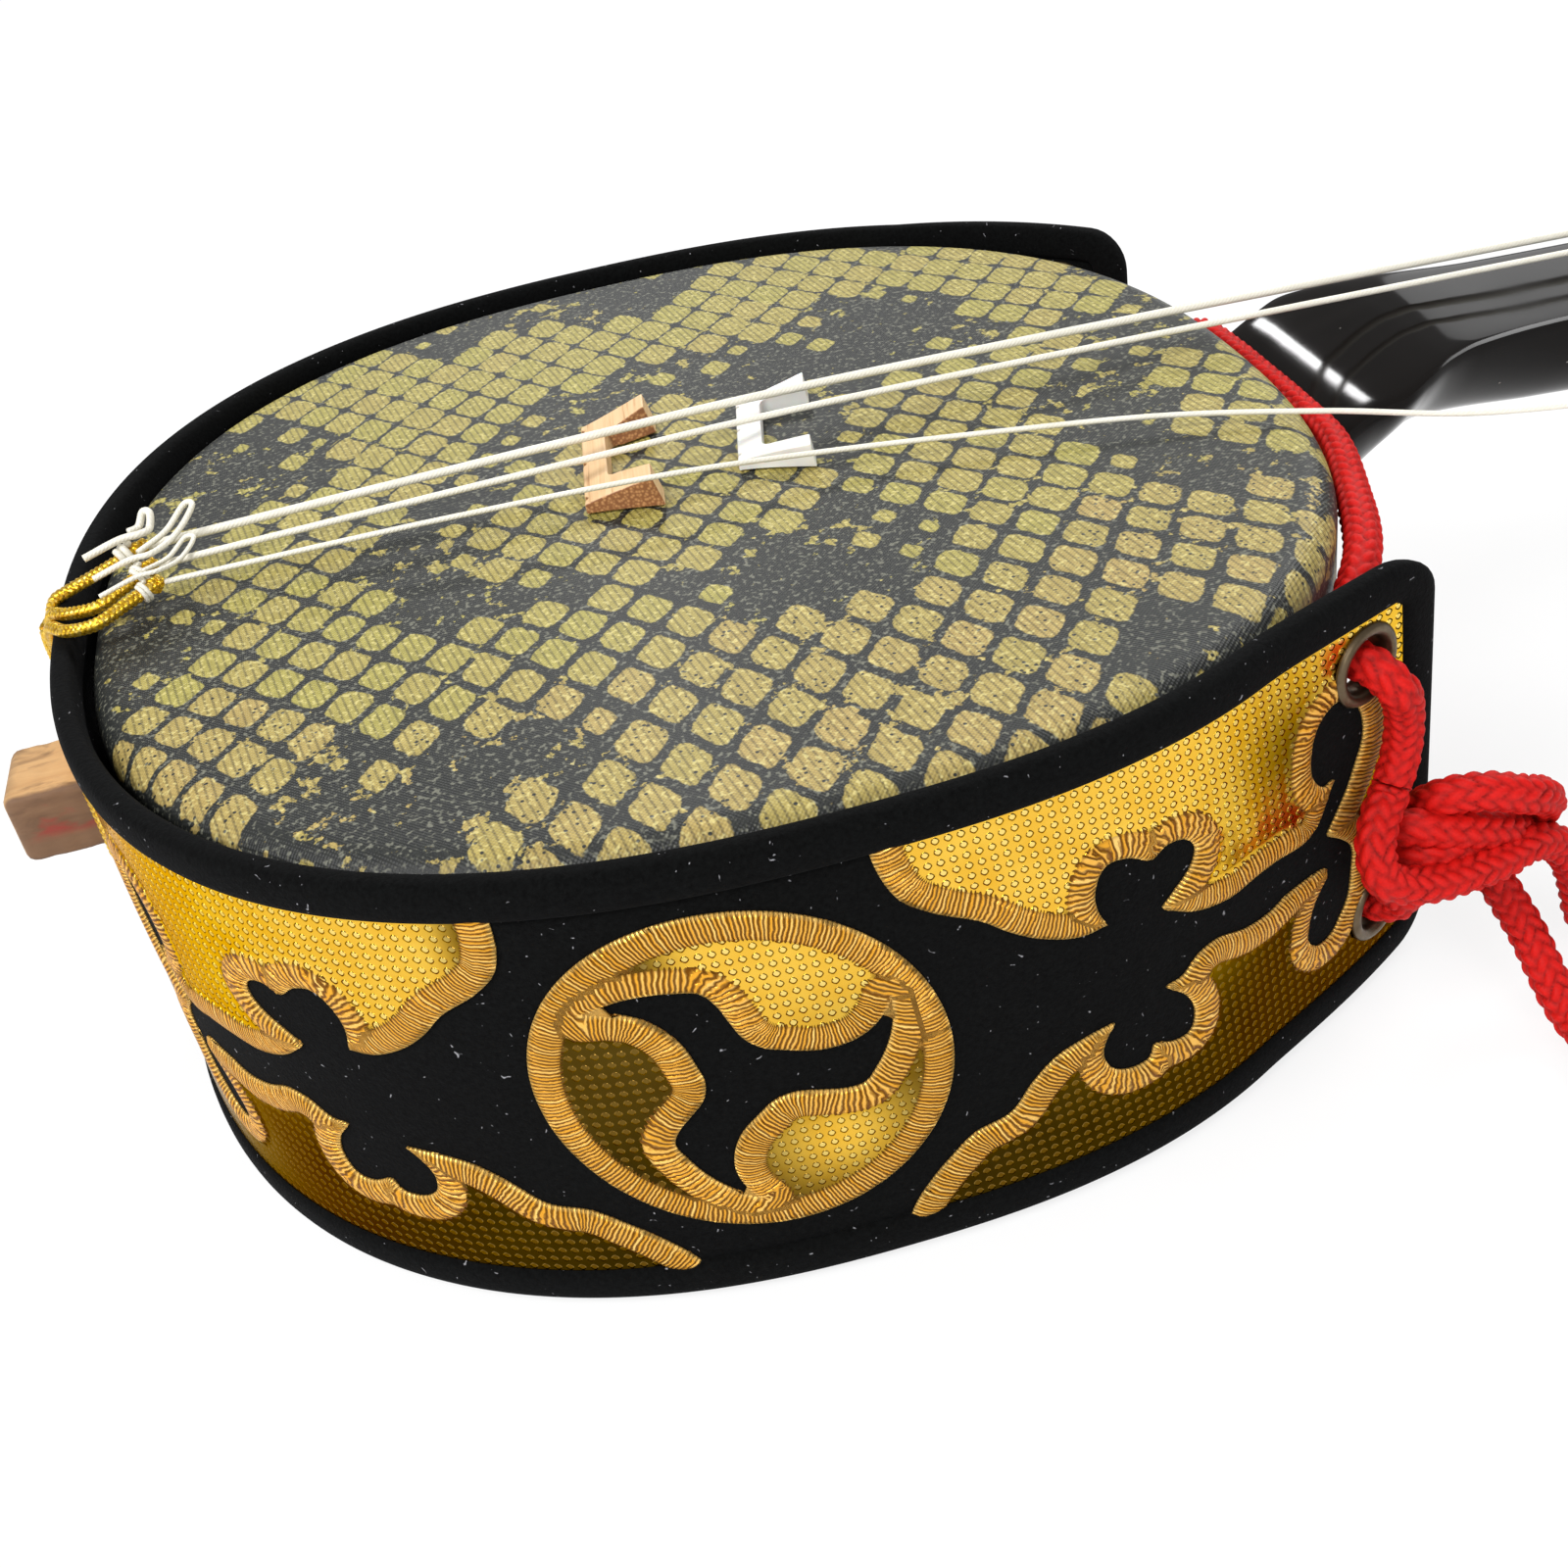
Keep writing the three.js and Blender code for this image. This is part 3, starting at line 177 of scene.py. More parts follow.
def along_route(points, spacing):
    """Evenly spaced places on a smooth curve through the points. Each span is a cubic whose
    end slopes weigh the chords on both sides by the square roots of their lengths."""
    points = np.array(points, float)
    padded = np.vstack([2 * points[0] - points[1], points, 2 * points[-1] - points[-2]])
    chord = np.sqrt(np.linalg.norm(np.diff(padded, axis=0), axis=1))[:, None]
    a, b, c, d = padded[:-3], padded[1:-2], padded[2:-1], padded[3:]
    before, here, after = chord[:-2], chord[1:-1], chord[2:]
    leave = ((b - a) / before - (c - a) / (before + here) + (c - b) / here) * here
    arrive = ((c - b) / here - (d - b) / (here + after) + (d - c) / after) * here
    t = np.linspace(0, 1, 24, endpoint=False)[None, :, None]
    b, c, leave, arrive = b[:, None], c[:, None], leave[:, None], arrive[:, None]
    curve = b + leave * t + (3 * (c - b) - 2 * leave - arrive) * t**2 + (2 * (b - c) + leave + arrive) * t**3
    curve = np.vstack([curve.reshape(-1, points.shape[1]), points[-1]])
    run = run_along(curve)
    stops = np.linspace(0, run[-1], max(2, int(round(run[-1] / spacing)) + 1))
    return np.stack([np.interp(stops, run, curve[:, k]) for k in range(points.shape[1])], axis=1)


def carried_frame(path):
    """Two directions square to a path at each place, carried along it without twist: each is
    the one before, less its share along the new run."""
    run = np.gradient(path, axis=0)
    run /= np.linalg.norm(run, axis=1)[:, None]
    side = np.empty_like(path)
    lean = np.eye(3)[np.abs(run[0]).argmin()]
    for i, forward in enumerate(run):
        lean = lean - forward * lean.dot(forward)
        lean /= np.linalg.norm(lean)
        side[i] = lean
    return side, np.cross(run, side)


def grid_faces(rows, columns, around=False, closed=False):
    """Quads between neighbouring rows and columns of a grid of points. around joins the last
    column to the first, closed the last row to the first."""
    r = np.arange(rows if closed else rows - 1)[:, None]
    c = np.arange(columns if around else columns - 1)[None, :]
    r2, c2 = (r + 1) % rows, (c + 1) % columns
    corners = [r * columns + c, r * columns + c2, r2 * columns + c2, r2 * columns + c]
    return np.stack([np.broadcast_to(k, (r.size, c.size)) for k in corners], axis=-1).reshape(-1, 4)


def capped(points, closed=False):
    """Vertices and faces of a grid whose columns run around. Its first and last rows are each
    closed by a fan to their middle."""
    rows, columns = points.shape[:2]
    faces = grid_faces(rows, columns, around=True, closed=closed).tolist()
    flat = points.reshape(-1, 3)
    if not closed:
        ring = np.arange(columns)
        last = (rows - 1) * columns
        flat = np.vstack([flat, points[0].mean(axis=0), points[-1].mean(axis=0)])
        faces += np.stack([np.roll(ring, -1), ring, np.full(columns, len(flat) - 2)], axis=1).tolist()
        faces += np.stack([last + ring, last + np.roll(ring, -1), np.full(columns, len(flat) - 1)],
                          axis=1).tolist()
    return flat, faces


def turned_out(name, points, faces):
    """A mesh from points in millimetres, with its faces turned outwards."""
    mesh = bpy.data.meshes.new(name)
    mesh.from_pydata((np.asarray(points) / 1000).tolist(), [], faces)
    shell = bmesh.new()
    shell.from_mesh(mesh)
    bmesh.ops.recalc_face_normals(shell, faces=shell.faces)
    shell.to_mesh(mesh)
    shell.free()
    return mesh


def build(name, material, slot, replaces, points, faces, maps={}, marks={}, body="instrument"):
    mesh = turned_out(name, points, faces)
    for key, values in maps.items():
        corner = np.empty(len(mesh.loops), np.int32)
        mesh.loops.foreach_get("vertex_index", corner)
        mesh.uv_layers.new(name=key).data.foreach_set("uv", np.asarray(values, np.float32)[corner].ravel())
    for key, values in marks.items():
        mesh.attributes.new(key, "FLOAT", "POINT").data.foreach_set("value",
                                                                    np.asarray(values, np.float32).ravel())
    mesh.polygons.foreach_set("use_smooth", np.full(len(mesh.polygons), True))
    mesh.materials.append(material)
    piece = bpy.data.objects.new(name, mesh)
    scene.collection.objects.link(piece)
    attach(piece, body)
    if replaces:
        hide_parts(*replaces)
    return piece


def tube(path, radius, sides):
    """A tube along a path, as a grid of points: circles in the carried frame. The radius is
    one value, or an array of rows and sides."""
    side, lift = carried_frame(path)
    turn = circle(sides)[None, :, None]
    reach = np.broadcast_to(radius, (len(path), sides))[..., None]
    return path[:, None] + reach * (np.cos(turn) * side[:, None] + np.sin(turn) * lift[:, None])


def braided(path, radius, yarns, lay, relief, sides):
    """A braided tube round a path. Yarns run both ways round it, and each passes over two and
    under two. The surface stands highest along the middle of each length on top: a half
    circle across the yarn times a half sine along it. Gives what build() takes."""
    run, turn = run_along(path)[:, None], circle(sides)[None, :]
    left = yarns * turn / (2 * np.pi) + run / lay
    right = yarns * turn / (2 * np.pi) - run / lay
    step = (np.floor(left) + np.floor(right)) % 4
    on_top = step < 2
    across = np.where(on_top, left % 1, right % 1)
    length = np.where(on_top, right % 1 + step, left % 1 + step - 2) / 2
    swell = np.sqrt(1 - (2 * across - 1) ** 2) * (0.45 + 0.55 * np.sin(np.pi * length))
    flat, faces = capped(tube(path, radius - relief * (1 - swell), sides))
    ends = np.zeros(2)
    around = np.concatenate([(turn * radius + 0 * run).ravel(), ends])
    down = np.concatenate([(run + 0 * turn).ravel(), [0, run[-1, 0]]])
    return flat, faces, {"cord": np.stack([around, down],
                                          axis=1)}, {"swell": np.concatenate([swell.ravel(), ends])}


def surface(colour, height, strength, depth, look):
    """A surface of one colour, raised by a height times a depth, with the rest of its look."""
    bump = add("Bump", {"Height": height, "Strength": strength, "Distance": depth})
    return add("BsdfPrincipled", {"Base Color": colour, "Normal": bump, **look})


def grained(name, noise, dark, pale, gloss=None, relief=None, stretch=None, look={}):
    """A finish that one noise makes: it mixes a dark and a pale colour, runs the gloss through
    a range, and raises a relief of a strength and a depth."""
    material = start_material(name)
    spot = add("TexCoord").outputs["Object"]
    if stretch:
        spot = add("Mapping", {"Vector": spot, "Scale": stretch})
    grain = add("TexNoise", {"Vector": spot, **noise})
    if gloss:
        look = {"Roughness": add("MapRange", {0: grain, **gloss}), **look}
    if relief:
        look = {"Normal": add("Bump", {"Height": grain, "Strength": relief[0], "Distance": relief[1]}), **look}
    shade = add("Mix", {0: grain, 6: dark, 7: pale})
    add("OutputMaterial", {"Surface": add("BsdfPrincipled", {"Base Color": shade, **look})})
    return material


# Dyed polyester yarn: soft and slightly glossy, with painted shade where the yarns dip under each other
yarn = start_material("dyed_polyester_yarn")
spot = add("TexCoord").outputs["Object"]
swell = add("Attribute", attribute_name="swell").outputs["Fac"]
fuzz = add("TexNoise", {"Vector": spot, "Scale": 2600.0})
# Painted shade: the colour runs from dark red where the surface dips to bright red where it swells
depth = add("MapRange", {0: swell, 1: 0.05, 2: 0.75})
shade = add("Mix", {0: depth, 6: "#4e0304", 7: "#c8100c"})
shade = add("Mix", {0: 0.35, 6: shade, 7: add("Mix", {0: fuzz, 6: "#6c0506", 7: "#dc2016"})})
look = surface(shade, fuzz, 0.35, 0.0002, {"Roughness": 0.6, "Specular IOR Level": 0.16, "Sheen Weight": 0.04,
                                           "Sheen Roughness": 0.4, "Sheen Tint": "#ff4a3a"})
add("OutputMaterial", {"Surface": look})

# Bound tips: black shrink tube over the cut ends, rubbed semi-gloss
tip_black = grained("black_shrink_tube", {"Scale": 700.0, "Detail": 4.0}, "#0c0c0d", "#242426",
                    gloss={3: 0.35, 4: 0.6})

tip_length = 9
lace_body, lace_braid = lace_radius + 0.12, {"yarns": 8, "lay": 2.3, "relief": 0.75}
for name, route, replaced, tip_name in (
    ("lacing_upper_end", knot_route, ("lace_knot", "cord_end_upper"), "aglet_upper"),
    ("lacing_lower_end", bow_route, ("bow_loop", "cord_end_lower"), "aglet_lower"),
):
    path = along_route(route, 0.4)
    piece = build(name, yarn, "red_cord", replaced, *braided(path, lace_body, sides=48, **lace_braid))
    # The tip tapers a little and is rounded off at its end
    level = np.array([1, 1, 0]) * (path[-1] - path[-6])
    level /= np.linalg.norm(level)
    share = np.array([0, 0.02, 0.06, 0.2, 0.5, 0.8, 0.94, 0.985, 1.0])
    reach = lace_radius * np.array([0.9, 1.04, 1.06, 1.05, 1.0, 0.96, 0.93, 0.82, 0.6])
    axis = path[-1] + (0.2 + share[:, None] * tip_length) * level
    tip_shape = capped(tube(axis, reach[:, None], 28))
    tip_piece = build(tip_name + "_bound", tip_black, "cord_tip", (tip_name,), *tip_shape)

# Where it is pulled tight over the crest it is drawn a little thinner
path = along_route(lace_route, 0.45)
tight = np.exp(-((path[:, 1:2] + 6) / 36)**4) * (path[:, 2:] > 50)
lacing = braided(path, lace_body - 0.5 * tight, sides=44, **lace_braid)
build("lacing_cord_braid", yarn, "red_cord", ("lacing_cord",), *lacing)
# The turn that holds the bow together, pulled tight through the middle of the knot
for name, route in (
    ("lacing_knot_turn", [(77.6, -79.8, 32.4), (79.8, -82.8, 34.2), (84.6, -84.4, 33.4), (89.6, -84.4, 31.8),
                          (94.6, -83, 29.2), (97.4, -80.6, 26.8)]),
    ("lacing_knot_tuck", [(77.2, -80.4, 27.4), (79.4, -83.4, 29.6), (83.6, -84.6, 30), (88.6, -84.2, 29.2),
                          (93.6, -82.6, 26.6), (95.8, -80.6, 25)]),
):
    build(name, yarn, "red_cord", (), *braided(along_route(route, 0.45), lace_body, sides=44, **lace_braid))


# ---- Drum frame -----------------------------------------------------------------------
# Four curved blocks of light hardwood, sawn and sanded, glued end to end, with a wedge
# that locks the core stick in the head block.
frame_wood = grained("sanded_hardwood", {"Scale": 1.0, "Detail": 5.0, "Roughness": 0.6}, "#9c7143", "#cfa674",
                     relief=(0.2, 0.0003), stretch=(260.0, 260.0, 26.0), look={"Roughness": 0.62})
for node in ("frame_head", "frame_far", "frame_tail", "frame_near", "core_wedge"):
    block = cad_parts[node]
    block.data.materials.clear()
    block.data.materials.append(frame_wood)


# ---- Skins ----------------------------------------------------------------------------
# Woven polyester cloth printed with a python skin and coated, stretched over the frame and
# turned down its sides.
drum_length, drum_width, drum_square, drum_depth = 93.8, 96.0, 2.38, 71.3
skin_edge, skin_skirt, skin_thick = 5.0, 14.0, 0.9
scale_wide, scale_long = 9.3, 11.5


def outline(half_length, half_width, angle):
    """Radius of the drum's rounded square at an angle: the two shares of a half length, each
    raised to the squareness, add up to one."""
    shares = np.abs(np.cos(angle) / half_length)**drum_square + np.abs(np.sin(angle) / half_width)**drum_square
    return shares**(-1 / drum_square)


def inside(x, y, edge):
    """Which places lie inside a closed edge: a line to the right crosses it an odd number of
    times."""
    edge = np.array(edge, float)
    x, y = np.asarray(x)[..., None], np.asarray(y)[..., None]
    x1, y1 = edge.T
    x2, y2 = np.roll(edge, -1, axis=0).T
    with np.errstate(divide="ignore", invalid="ignore"):
        crossing = ((y1 > y) != (y2 > y)) & (x < (x2 - x1) * (y - y1) / (y2 - y1) + x1)
    return crossing.sum(axis=-1) % 2 == 1


# The pale bands of the print, seen from above: a broad zigzag, two diamonds and the flanks
pale_bands = [
    [(-52, 84), (-40, 84), (-34, 70), (-24, 76), (-12, 76), (-2, 74), (10, 72), (16, 80), (20, 90), (38, 90),
     (56, 80), (68, 70), (78, 58), (84, 44), (88, 28), (78, 24), (68, 27), (61, 33), (58, 45), (57, 55), (46,
                                                                                                          60),
     (36, 60), (30, 52), (20, 50), (12, 46), (2, 50), (-4, 42), (-12, 44), (-19, 38), (-24, 30), (-32, 22),
     (-38, 14), (-44, 8), (-50, 2), (-52, -6), (-58, -10), (-70, -9), (-79, 0), (-84, 12), (-74, 20), (-63, 24),
     (-56, 32), (-52, 42), (-54, 52), (-58, 58), (-68, 58), (-72, 66), (-60, 76)],
    [(-62, -8), (-53, -9), (-50, -20), (-45, -30), (-38, -33), (-28, -33), (-18, -34), (-8, -40), (-2, -48),
     (6, -51), (16, -51), (22, -43), (30, -37), (38, -29), (47, -27), (54, -33), (62, -39), (68, -42), (76,
                                                                                                        -42),
     (78, -52), (74, -62), (66, -74), (58, -78), (52, -70), (44, -66), (38, -76), (36, -98), (-34, -98),
     (-42, -80), (-38, -70), (-20, -70), (-16, -62), (-26, -58), (-40, -60), (-50, -60), (-58, -56), (-64, -62),
     (-72, -78), (-82, -60), (-90, -44), (-84, -28), (-76, -18), (-70, -10)],
    [(-34, -6), (-26, 3), (-20, 9), (-18, 18), (-8, 24), (2, 34), (11, 28), (12, 14), (16, 2), (14, -6),
     (20, -12),
     (18, -22), (12, -29), (4, -25), (-2, -31), (-10, -29), (-18, -32), (-24, -24), (-34, -18)],
    [(28, 8), (40, 18), (52, 22), (58, 17), (66, 24), (72, 14), (60, 3), (58, -8), (59, -20), (52, -30),
     (41, -29),
     (33, -32), (27, -23), (25, -14), (31, -7), (28, 0)],
    [(76, -6), (88, 4), (100, -4), (100, -40), (84, -44), (78, -34), (72, -30), (70, -20), (75, -12)],
]
# Where the scales are larger, rounder and peppered, towards the near edge
worn_edge = [(-90, -36), (-70, -30), (-60, -52), (-20, -52), (30, -50), (60, -34), (78, -34), (98, -60),
             (40, -110), (-60, -110), (-98, -60)]


def print_map(x, y):
    """Place in the print's diamond lattice, one unit to a scale: the sum and the difference of
    the shares of a scale's width and length, after a slow sway of the cloth."""
    sway_x = x + 1.1 * np.sin(y / 23 + 0.6) + 0.7 * np.sin(x / 31 + y / 17)
    sway_y = y + 1.0 * np.sin(x / 27 - 0.4) + 0.8 * np.sin(y / 19 - x / 37)
    stretch = 1 - 0.0016 * np.clip(-sway_y - 45, 0, 60)
    wide, long = sway_x / scale_wide * stretch, sway_y * stretch / scale_long
    return wide + long, wide - long


def skin_piece(name, node, is_front):
    """A skin as rings and spokes: the flat face to its rim, a quarter round down the edge, the
    skirt, and back inside a skin's thickness."""
    angle = circle(560)
    rings = 88
    share = np.linspace(0.004, 1, rings)
    bend = np.linspace(0, np.pi / 2, 10)[1:]
    inner = skin_edge - skin_thick
    inset = np.concatenate([np.full(rings, skin_edge), skin_edge * (1 - np.sin(bend)),
                            [0, 0, 0, skin_thick, skin_thick],
                            skin_thick + inner * (1 - np.sin(bend[::-1])), np.full(6, skin_edge)])
    drop = np.concatenate([np.zeros(rings), skin_edge * (1 - np.cos(bend)), [8, 11, skin_skirt, skin_skirt, 8],
                           skin_thick + inner * (1 - np.cos(bend[::-1])), np.full(6, skin_thick)])
    scale = np.concatenate([share, np.ones(23), [1, 0.98, 0.8, 0.5, 0.2, 0.02]])
    extra = np.concatenate([np.zeros(rings), skin_edge * bend, [11, 14, 17, 17, 11], skin_edge * bend[::-1],
                            np.zeros(6)])
    radius = outline(drum_length - inset[:, None], drum_width - inset[:, None], angle) * scale[:, None]
    height = drum_depth - drop if is_front else drop
    points = np.stack([radius * np.cos(angle), radius * np.sin(angle), height[:, None] + 0 * radius], axis=-1)
    flat, faces = capped(points)
    laid = outline(drum_length - skin_edge, drum_width - skin_edge, angle) * scale[:, None] + extra[:, None]
    laid_x, laid_y = laid * np.cos(angle), laid * np.sin(angle) * (1 if is_front else -1)
    a, b = print_map(laid_x, laid_y)
    a, b = (np.append(k.ravel(), [k[0].mean(), k[-1].mean()]) for k in (a, b))
    piece = build(name, skin_print, "skin_cloth", (node,), flat, faces,
                  maps={"print": np.stack([a, b], axis=1)})
    mesh = piece.data
    # Each face looks up the scale that it lies in: how much of it is printed, and how worn
    count = len(mesh.polygons)
    middle = np.empty(count * 3, np.float32)
    mesh.polygons.foreach_get("center", middle)
    start = np.empty(count, np.int32)
    mesh.polygons.foreach_get("loop_start", start)
    corners = np.empty(len(mesh.loops), np.int32)
    mesh.loops.foreach_get("vertex_index", corners)
    sides = np.empty(count, np.int32)
    mesh.polygons.foreach_get("loop_total", sides)
    cell_a = np.round(np.add.reduceat(a[corners], start) / sides)
    cell_b = np.round(np.add.reduceat(b[corners], start) / sides)
    x, y = (cell_a + cell_b) / 2 * scale_wide, (cell_a - cell_b) / 2 * scale_long
    pale = np.zeros(count, bool)
    for band in pale_bands:
        pale |= inside(x, y, band)
    dice = np.modf(np.abs(np.sin(cell_a * 12.9898 + cell_b * 78.233) * 43758.5453))[0]
    size = np.where(pale, 0.42 + 0.035 * dice + 0.0006 * np.clip(y, -60, 60),
                    np.where(dice < 0.22, 0.18 + 0.8 * dice, 0.0))
    worn = inside(x, y, worn_edge).astype(float)
    for key, values in (("scale_size", size), ("scale_tone", np.modf(dice * 7.13)[0]), ("scale_worn", worn)):
        mesh.attributes.new(key, "FLOAT", "FACE").data.foreach_set("value", values.astype(np.float32))
    return piece


# Coated print on a plain weave: olive scales on charcoal, semi-gloss, with the threads of
# 0.6 mm showing through the coat
skin_print = start_material("coated_printed_cloth")
spot = add("TexCoord").outputs["Object"]
lattice = add("SeparateXYZ", {0: add("UVMap", uv_map="print")})
wobble = add("TexNoise", {"Vector": spot, "Scale": 620.0, "Detail": 3.0, "Roughness": 0.65})
legs = []
for axis in (0, 1):
    part = add("Math", {0: lattice.outputs[axis], 1: 0.5})
    part = add("Math", {0: part}, operation="FRACT")
    part = add("Math", {0: part, 1: 0.5}, operation="SUBTRACT")
    part = add("Math", {0: part}, operation="ABSOLUTE")
    legs.append(add("Math", {0: part, 1: 4.0}, operation="POWER"))
far = add("Math", {0: add("Math", {0: legs[0], 1: legs[1]}), 1: 1 / 4.0}, operation="POWER")
far = add("Math", {0: wobble, 1: -0.15, 2: far}, operation="MULTIPLY_ADD")
size = add("Attribute", attribute_name="scale_size").outputs["Fac"]
tone = add("Attribute", attribute_name="scale_tone").outputs["Fac"]
worn = add("Attribute", attribute_name="scale_worn").outputs["Fac"]
edge = add("Math", {0: size, 1: far}, operation="SUBTRACT")
scale_mask = add("MapRange", {0: edge, 1: 0.06, 2: 0.09})
# Small islands of ink in the dark ground, and pepper on the worn scales
islands = add("TexNoise", {"Vector": spot, "Scale": 330.0, "Detail": 4.0, "Roughness": 0.55})
regions = add("TexNoise", {"Vector": spot, "Scale": 42.0, "Detail": 1.0})
island_mask = add("Math", {0: islands, 1: add("Math", {0: regions, 1: 0.35}, operation="MULTIPLY")})
island_mask = add("MapRange", {0: island_mask, 1: 0.80, 2: 0.825})
printed = add("Math", {0: scale_mask, 1: island_mask}, operation="MAXIMUM")
pepper = add("TexVoronoi", {"Vector": spot, "Scale": 750.0})
pepper = add("MapRange", {0: pepper.outputs["Distance"], 1: 0.16, 2: 0.24})
keep = add("Mix", {0: worn, 2: 1.0, 3: pepper}, data_type="FLOAT")
printed = add("Math", {0: printed, 1: keep}, operation="MULTIPLY")
mottle = add("TexNoise", {"Vector": spot, "Scale": 380.0, "Detail": 5.0, "Roughness": 0.6})
olive = add("Mix", {0: mottle, 6: "#7c752c", 7: "#c6bb62"})
tan = add("Mix", {0: mottle, 6: "#907538", 7: "#d2b276"})
warm = add("Math", {0: tone, 1: 0.35, 2: add("Math", {0: worn, 1: 0.35}, operation="MULTIPLY")},
           operation="MULTIPLY_ADD")
scale_ink = add("Mix", {0: warm, 6: olive, 7: tan})
ground = add("Mix", {0: mottle, 6: "#111312", 7: "#2e302b"})
ink = add("Mix", {0: printed, 6: ground, 7: scale_ink})
threads = add("Mapping", {"Vector": spot, "Scale": (2 * np.pi / 0.00062, 2 * np.pi / 0.00062, 0.0)})
warp = add("SeparateXYZ", {0: threads})
rise = [add("Math", {0: warp.outputs[k]}, operation="SINE") for k in (0, 1)]
weave = add("Math", {0: rise[0], 1: rise[1]}, operation="MULTIPLY")
weave = add("MapRange", {0: weave, 1: -1.0, 2: 1.0})
# Dark lines between the ribs, which run across the drum, and painted glints on single threads
ribs = add("SeparateXYZ",
           {0: add("Mapping", {"Vector": spot, "Scale": (2 * np.pi / 0.0011, 2 * np.pi / 0.0065, 0.0)})})
ribs = add("Math", {0: ribs.outputs[0], 1: ribs.outputs[1]})
ribs = add("MapRange", {0: add("Math", {0: ribs}, operation="SINE"), 1: 0.1, 2: 1.0, 4: 0.42})
ink = add("Mix", {0: add("Math", {0: weave, 1: 0.3, 2: ribs}, operation="MULTIPLY_ADD"), 6: ink, 7: "#17191b"})
shiny = add("TexNoise", {"Vector": spot, "Scale": 1350.0, "Detail": 1.0})
shiny = add("MapRange", {0: shiny, 1: 0.56, 2: 0.7, 4: 0.55})
shine = add("Mix", {0: printed, 6: "#8a8a7a", 7: "#dccf88"})
ink = add("Mix", {0: shiny, 6: ink, 7: shine})
look = surface(ink, weave, 0.6, 0.00012,
               {"Roughness": 0.5, "Specular IOR Level": 0.35, "Coat Weight": 0.04, "Coat Roughness": 0.3})
add("OutputMaterial", {"Surface": look})

# Each was cut to a rounded square, wide enough to turn down the sides
for name, node, is_front in (("front_skin_cloth", "front_skin", True), ("back_skin_cloth", "back_skin", False)):
    cloth = skin_piece(name, node, is_front)


# ---- Wrap band ------------------------------------------------------------------------
# A stiff U-shaped band round the drum side, covered with black cotton velvet. It stands off
# the drum at its two ends, where the lacing pulls it in.
wrap_length, wrap_width, wrap_shift, wrap_base, wrap_tall = 98.6, 100.7, -0.2, 0.2, 72.6
wrap_run = 519.147
near_top, near_base, near_flare, far_flare, far_end = np.radians([-40.5, -35.0, -57.0, -305.0, -330.3])
band_inset, band_thick, band_edge = 1.2, 1.4, 6.6
eyelet_along, eyelet_heights = 12.6, (15.1, 60.0)


def wrap_place(along, inset, height):
    """A place on the wrap: along runs round it from its near end, as an even share of the
    angle. The drum's outline, less the inset, plus each wing's lift off the drum."""
    along, inset, height = np.broadcast_arrays(along, inset, height)
    near_end = near_base + (near_top - near_base) * height / wrap_tall
    angle = near_end + (far_end - near_end) * along / wrap_run
    near_lift = 10 * np.maximum(0, (angle - near_flare) / (near_end - near_flare))**1.7
    far_lift = 7 * np.maximum(0, (angle - far_flare) / (far_end - far_flare))
    radius = outline(wrap_length - inset, wrap_width - inset, angle) + near_lift + far_lift
    return np.stack([wrap_shift + radius * np.cos(angle), radius * np.sin(angle), wrap_base + height], axis=-1)


def hole_clearance(along, height):
    """Distance from the nearest hole's edge: the four eyelet bores, and the stub's slot
    through the middle of the tail."""
    ends = np.minimum(along, wrap_run - along)
    clear = np.minimum(*[np.hypot(ends - eyelet_along, height - tall) - 4.8 for tall in eyelet_heights])
    stub = np.maximum(np.abs(along - 251.6) - 8.6, np.abs(height - 42.2) - 6.7)
    return np.minimum(clear, stub)


def trimmed_cloth(cell, low, high, edge_distance):
    """Cloth laid on the wrap and cut to a line: a grid of places whose corners near the line
    slide straight on to it, and whose cells stay where all corners are on the kept side."""
    columns, rows = int((wrap_run - 2 * low) / cell), int((high - low) / cell)
    along, height = np.meshgrid(np.linspace(low, wrap_run - low, columns), np.linspace(low, high, rows),
                                indexing="ij")
    distance = edge_distance(along, height)
    step_along, step_height = along[1, 0] - along[0, 0], height[0, 1] - height[0, 0]
    slope_along, slope_height = np.gradient(distance, step_along, step_height)
    steep = np.maximum(slope_along**2 + slope_height**2, 0.25)
    near = np.abs(distance) < 0.62 * cell
    near[[0, -1]] = near[:, [0, -1]] = False
    along = along - np.where(near, distance * slope_along / steep, 0)
    height = height - np.where(near, distance * slope_height / steep, 0)
    distance = np.where(near, 0, distance).ravel()
    quads = grid_faces(columns, rows)
    kept = distance[quads] >= 0
    whole = quads[kept.sum(axis=1) == 4]
    part = kept.sum(axis=1) == 3
    corners = quads[part][kept[part]].reshape(-1, 3)
    return along.ravel(), height.ravel(), whole.tolist() + corners.tolist()


def both_sides(front, back, faces):
    """A closed sheet: its front faces, its back faces turned over, and a wall along every edge
    that only one face has."""
    count = len(front)
    edges = np.array([(f[k], f[(k + 1) % n]) for n in (4, 3) for k in range(n) for f in faces if len(f) == n])
    key, twin = edges[:, 0] * count + edges[:, 1], edges[:, 1] * count + edges[:, 0]
    rim = edges[~np.isin(key, twin)]
    wall = np.stack([rim[:, 1], rim[:, 0], rim[:, 0] + count, rim[:, 1] + count], axis=1)
    turned = [[k + count for k in reversed(f)] for f in faces]
    return np.vstack([front, back]), faces + turned + wall.tolist()


